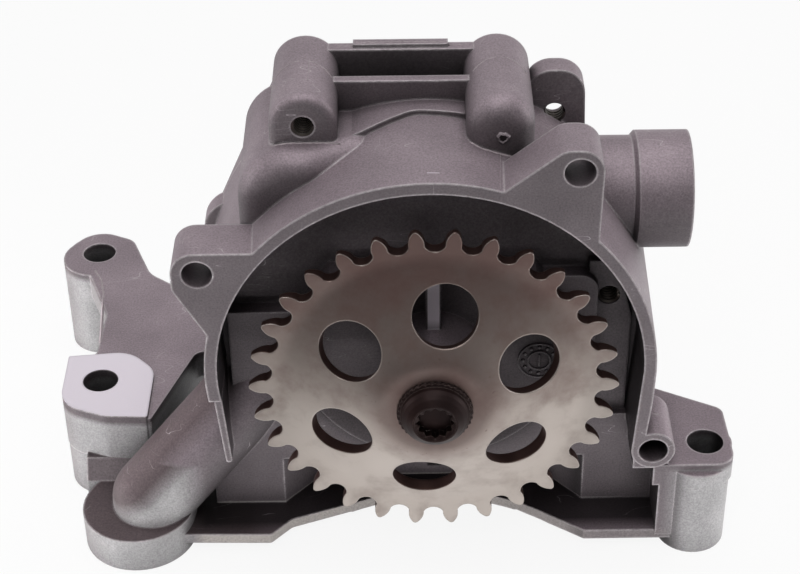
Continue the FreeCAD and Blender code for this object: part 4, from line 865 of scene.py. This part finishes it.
springSettings = {
    "x": -30.0, "y": 54.0,
    "coilRadius": 2.9,
    "wireRadius": 0.6,
    "wireSides": 10,
    "turns": 6,
    "stepsPerTurn": 24,
    "travel": 5.0,
}


def makeSpring(settings, material):
    cadSpring = nodes["relief_spring"]
    heights = [(cadSpring.matrix_world @ vert.co).z for vert in cadSpring.data.vertices]
    low, high = min(heights), max(heights)
    wire = settings["wireRadius"] * mm
    builder = bmesh.new()
    centre = Vector((settings["x"] * mm, settings["y"] * mm, low + wire))
    turned = Matrix.Translation(centre + Vector((settings["coilRadius"] * mm, 0, 0)))
    ring = bmesh.ops.create_circle(builder, segments=settings["wireSides"], radius=wire,
                                   matrix=turned @ alongWheel)
    corners = ring["verts"]
    edges = list({edge for vert in corners for edge in vert.link_edges})
    steps = settings["turns"] * settings["stepsPerTurn"]
    climb = (high - low - 2 * wire) / steps
    wound = bmesh.ops.spin(builder, geom=corners + edges, cent=centre, axis=(0, 0, 1), dvec=(0, 0, climb),
                           angle=2 * math.pi * settings["turns"], steps=steps)
    last = [item for item in wound["geom_last"] if isinstance(item, bmesh.types.BMVert)]
    for cap in (corners, last):
        bmesh.ops.contextual_create(builder, geom=cap)
    piece = finishPiece("spring_wound", builder, material, "housing")
    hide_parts("relief_spring")
    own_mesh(piece)


makeSpring(springSettings, materials["springWire"])
print("spring made")


# Wheel bolt: flange with a knurled foot, a domed head and a twelve-pointed socket

boltSettings = {
    # radius and place along the axis, from the shank's end to the rim of the socket
    "rings": [
        (4.0, 15.6), (4.0, -10.4), (8.3, -10.4), (8.35, -11.15), (7.55, -11.4), (7.45, -12.4),
        (7.0, -13.3), (6.2, -14.1), (5.3, -14.75), (4.95, -15.0), (4.6, -15.0), (4.4, -14.85),
    ],
    "segments": 72,
    "knurled": (8.35, -11.15),
    "knurlDepth": 0.4,
    "socketPoints": 12,
    "socketOuter": 4.15,
    "socketInner": 3.45,
    "socketTop": -14.45,
    "socketFloor": -12.6,
}


def makeBolt(settings, material):
    builder = bmesh.new()

    def ring(radius, along):
        made = bmesh.ops.create_circle(builder, segments=settings["segments"], radius=radius * mm,
                                       matrix=alongWheel)
        bmesh.ops.translate(builder, verts=made["verts"], vec=(0, along * mm, 0))
        return made["verts"]

    def join(first, second):
        edges = {edge for vert in first for edge in vert.link_edges if edge.other_vert(vert) in first}
        edges |= {edge for vert in second for edge in vert.link_edges if edge.other_vert(vert) in second}
        bmesh.ops.bridge_loops(builder, edges=list(edges))

    loops = []
    for radius, along in settings["rings"]:
        verts = ring(radius, along)
        if (radius, along) == settings["knurled"]:
            for i, vert in enumerate(verts):
                if i % 2:
                    vert.co *= 1 - settings["knurlDepth"] / radius
                    vert.co.y = along * mm
        loops.append(verts)
    # the socket's wall runs out and in once for each point
    half = settings["segments"] / settings["socketPoints"] / 2
    for along in (settings["socketTop"], settings["socketFloor"]):
        verts = ring(settings["socketOuter"], along)
        for i, vert in enumerate(verts):
            out = abs(i % (2 * half) - half) / half
            radius = settings["socketInner"] + (settings["socketOuter"] - settings["socketInner"]) * out
            vert.co.x *= radius / settings["socketOuter"]
            vert.co.z *= radius / settings["socketOuter"]
        loops.append(verts)
    for first, second in zip(loops, loops[1:]):
        join(first, second)
    for cap in (loops[0], loops[-1]):
        bmesh.ops.contextual_create(builder, geom=list(cap))
    piece = finishPiece("bolt_head_fine", builder, material, "drive")
    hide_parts("sprocket_bolt")


makeBolt(boltSettings, materials["phosphatedBolt"])
print("bolt made")
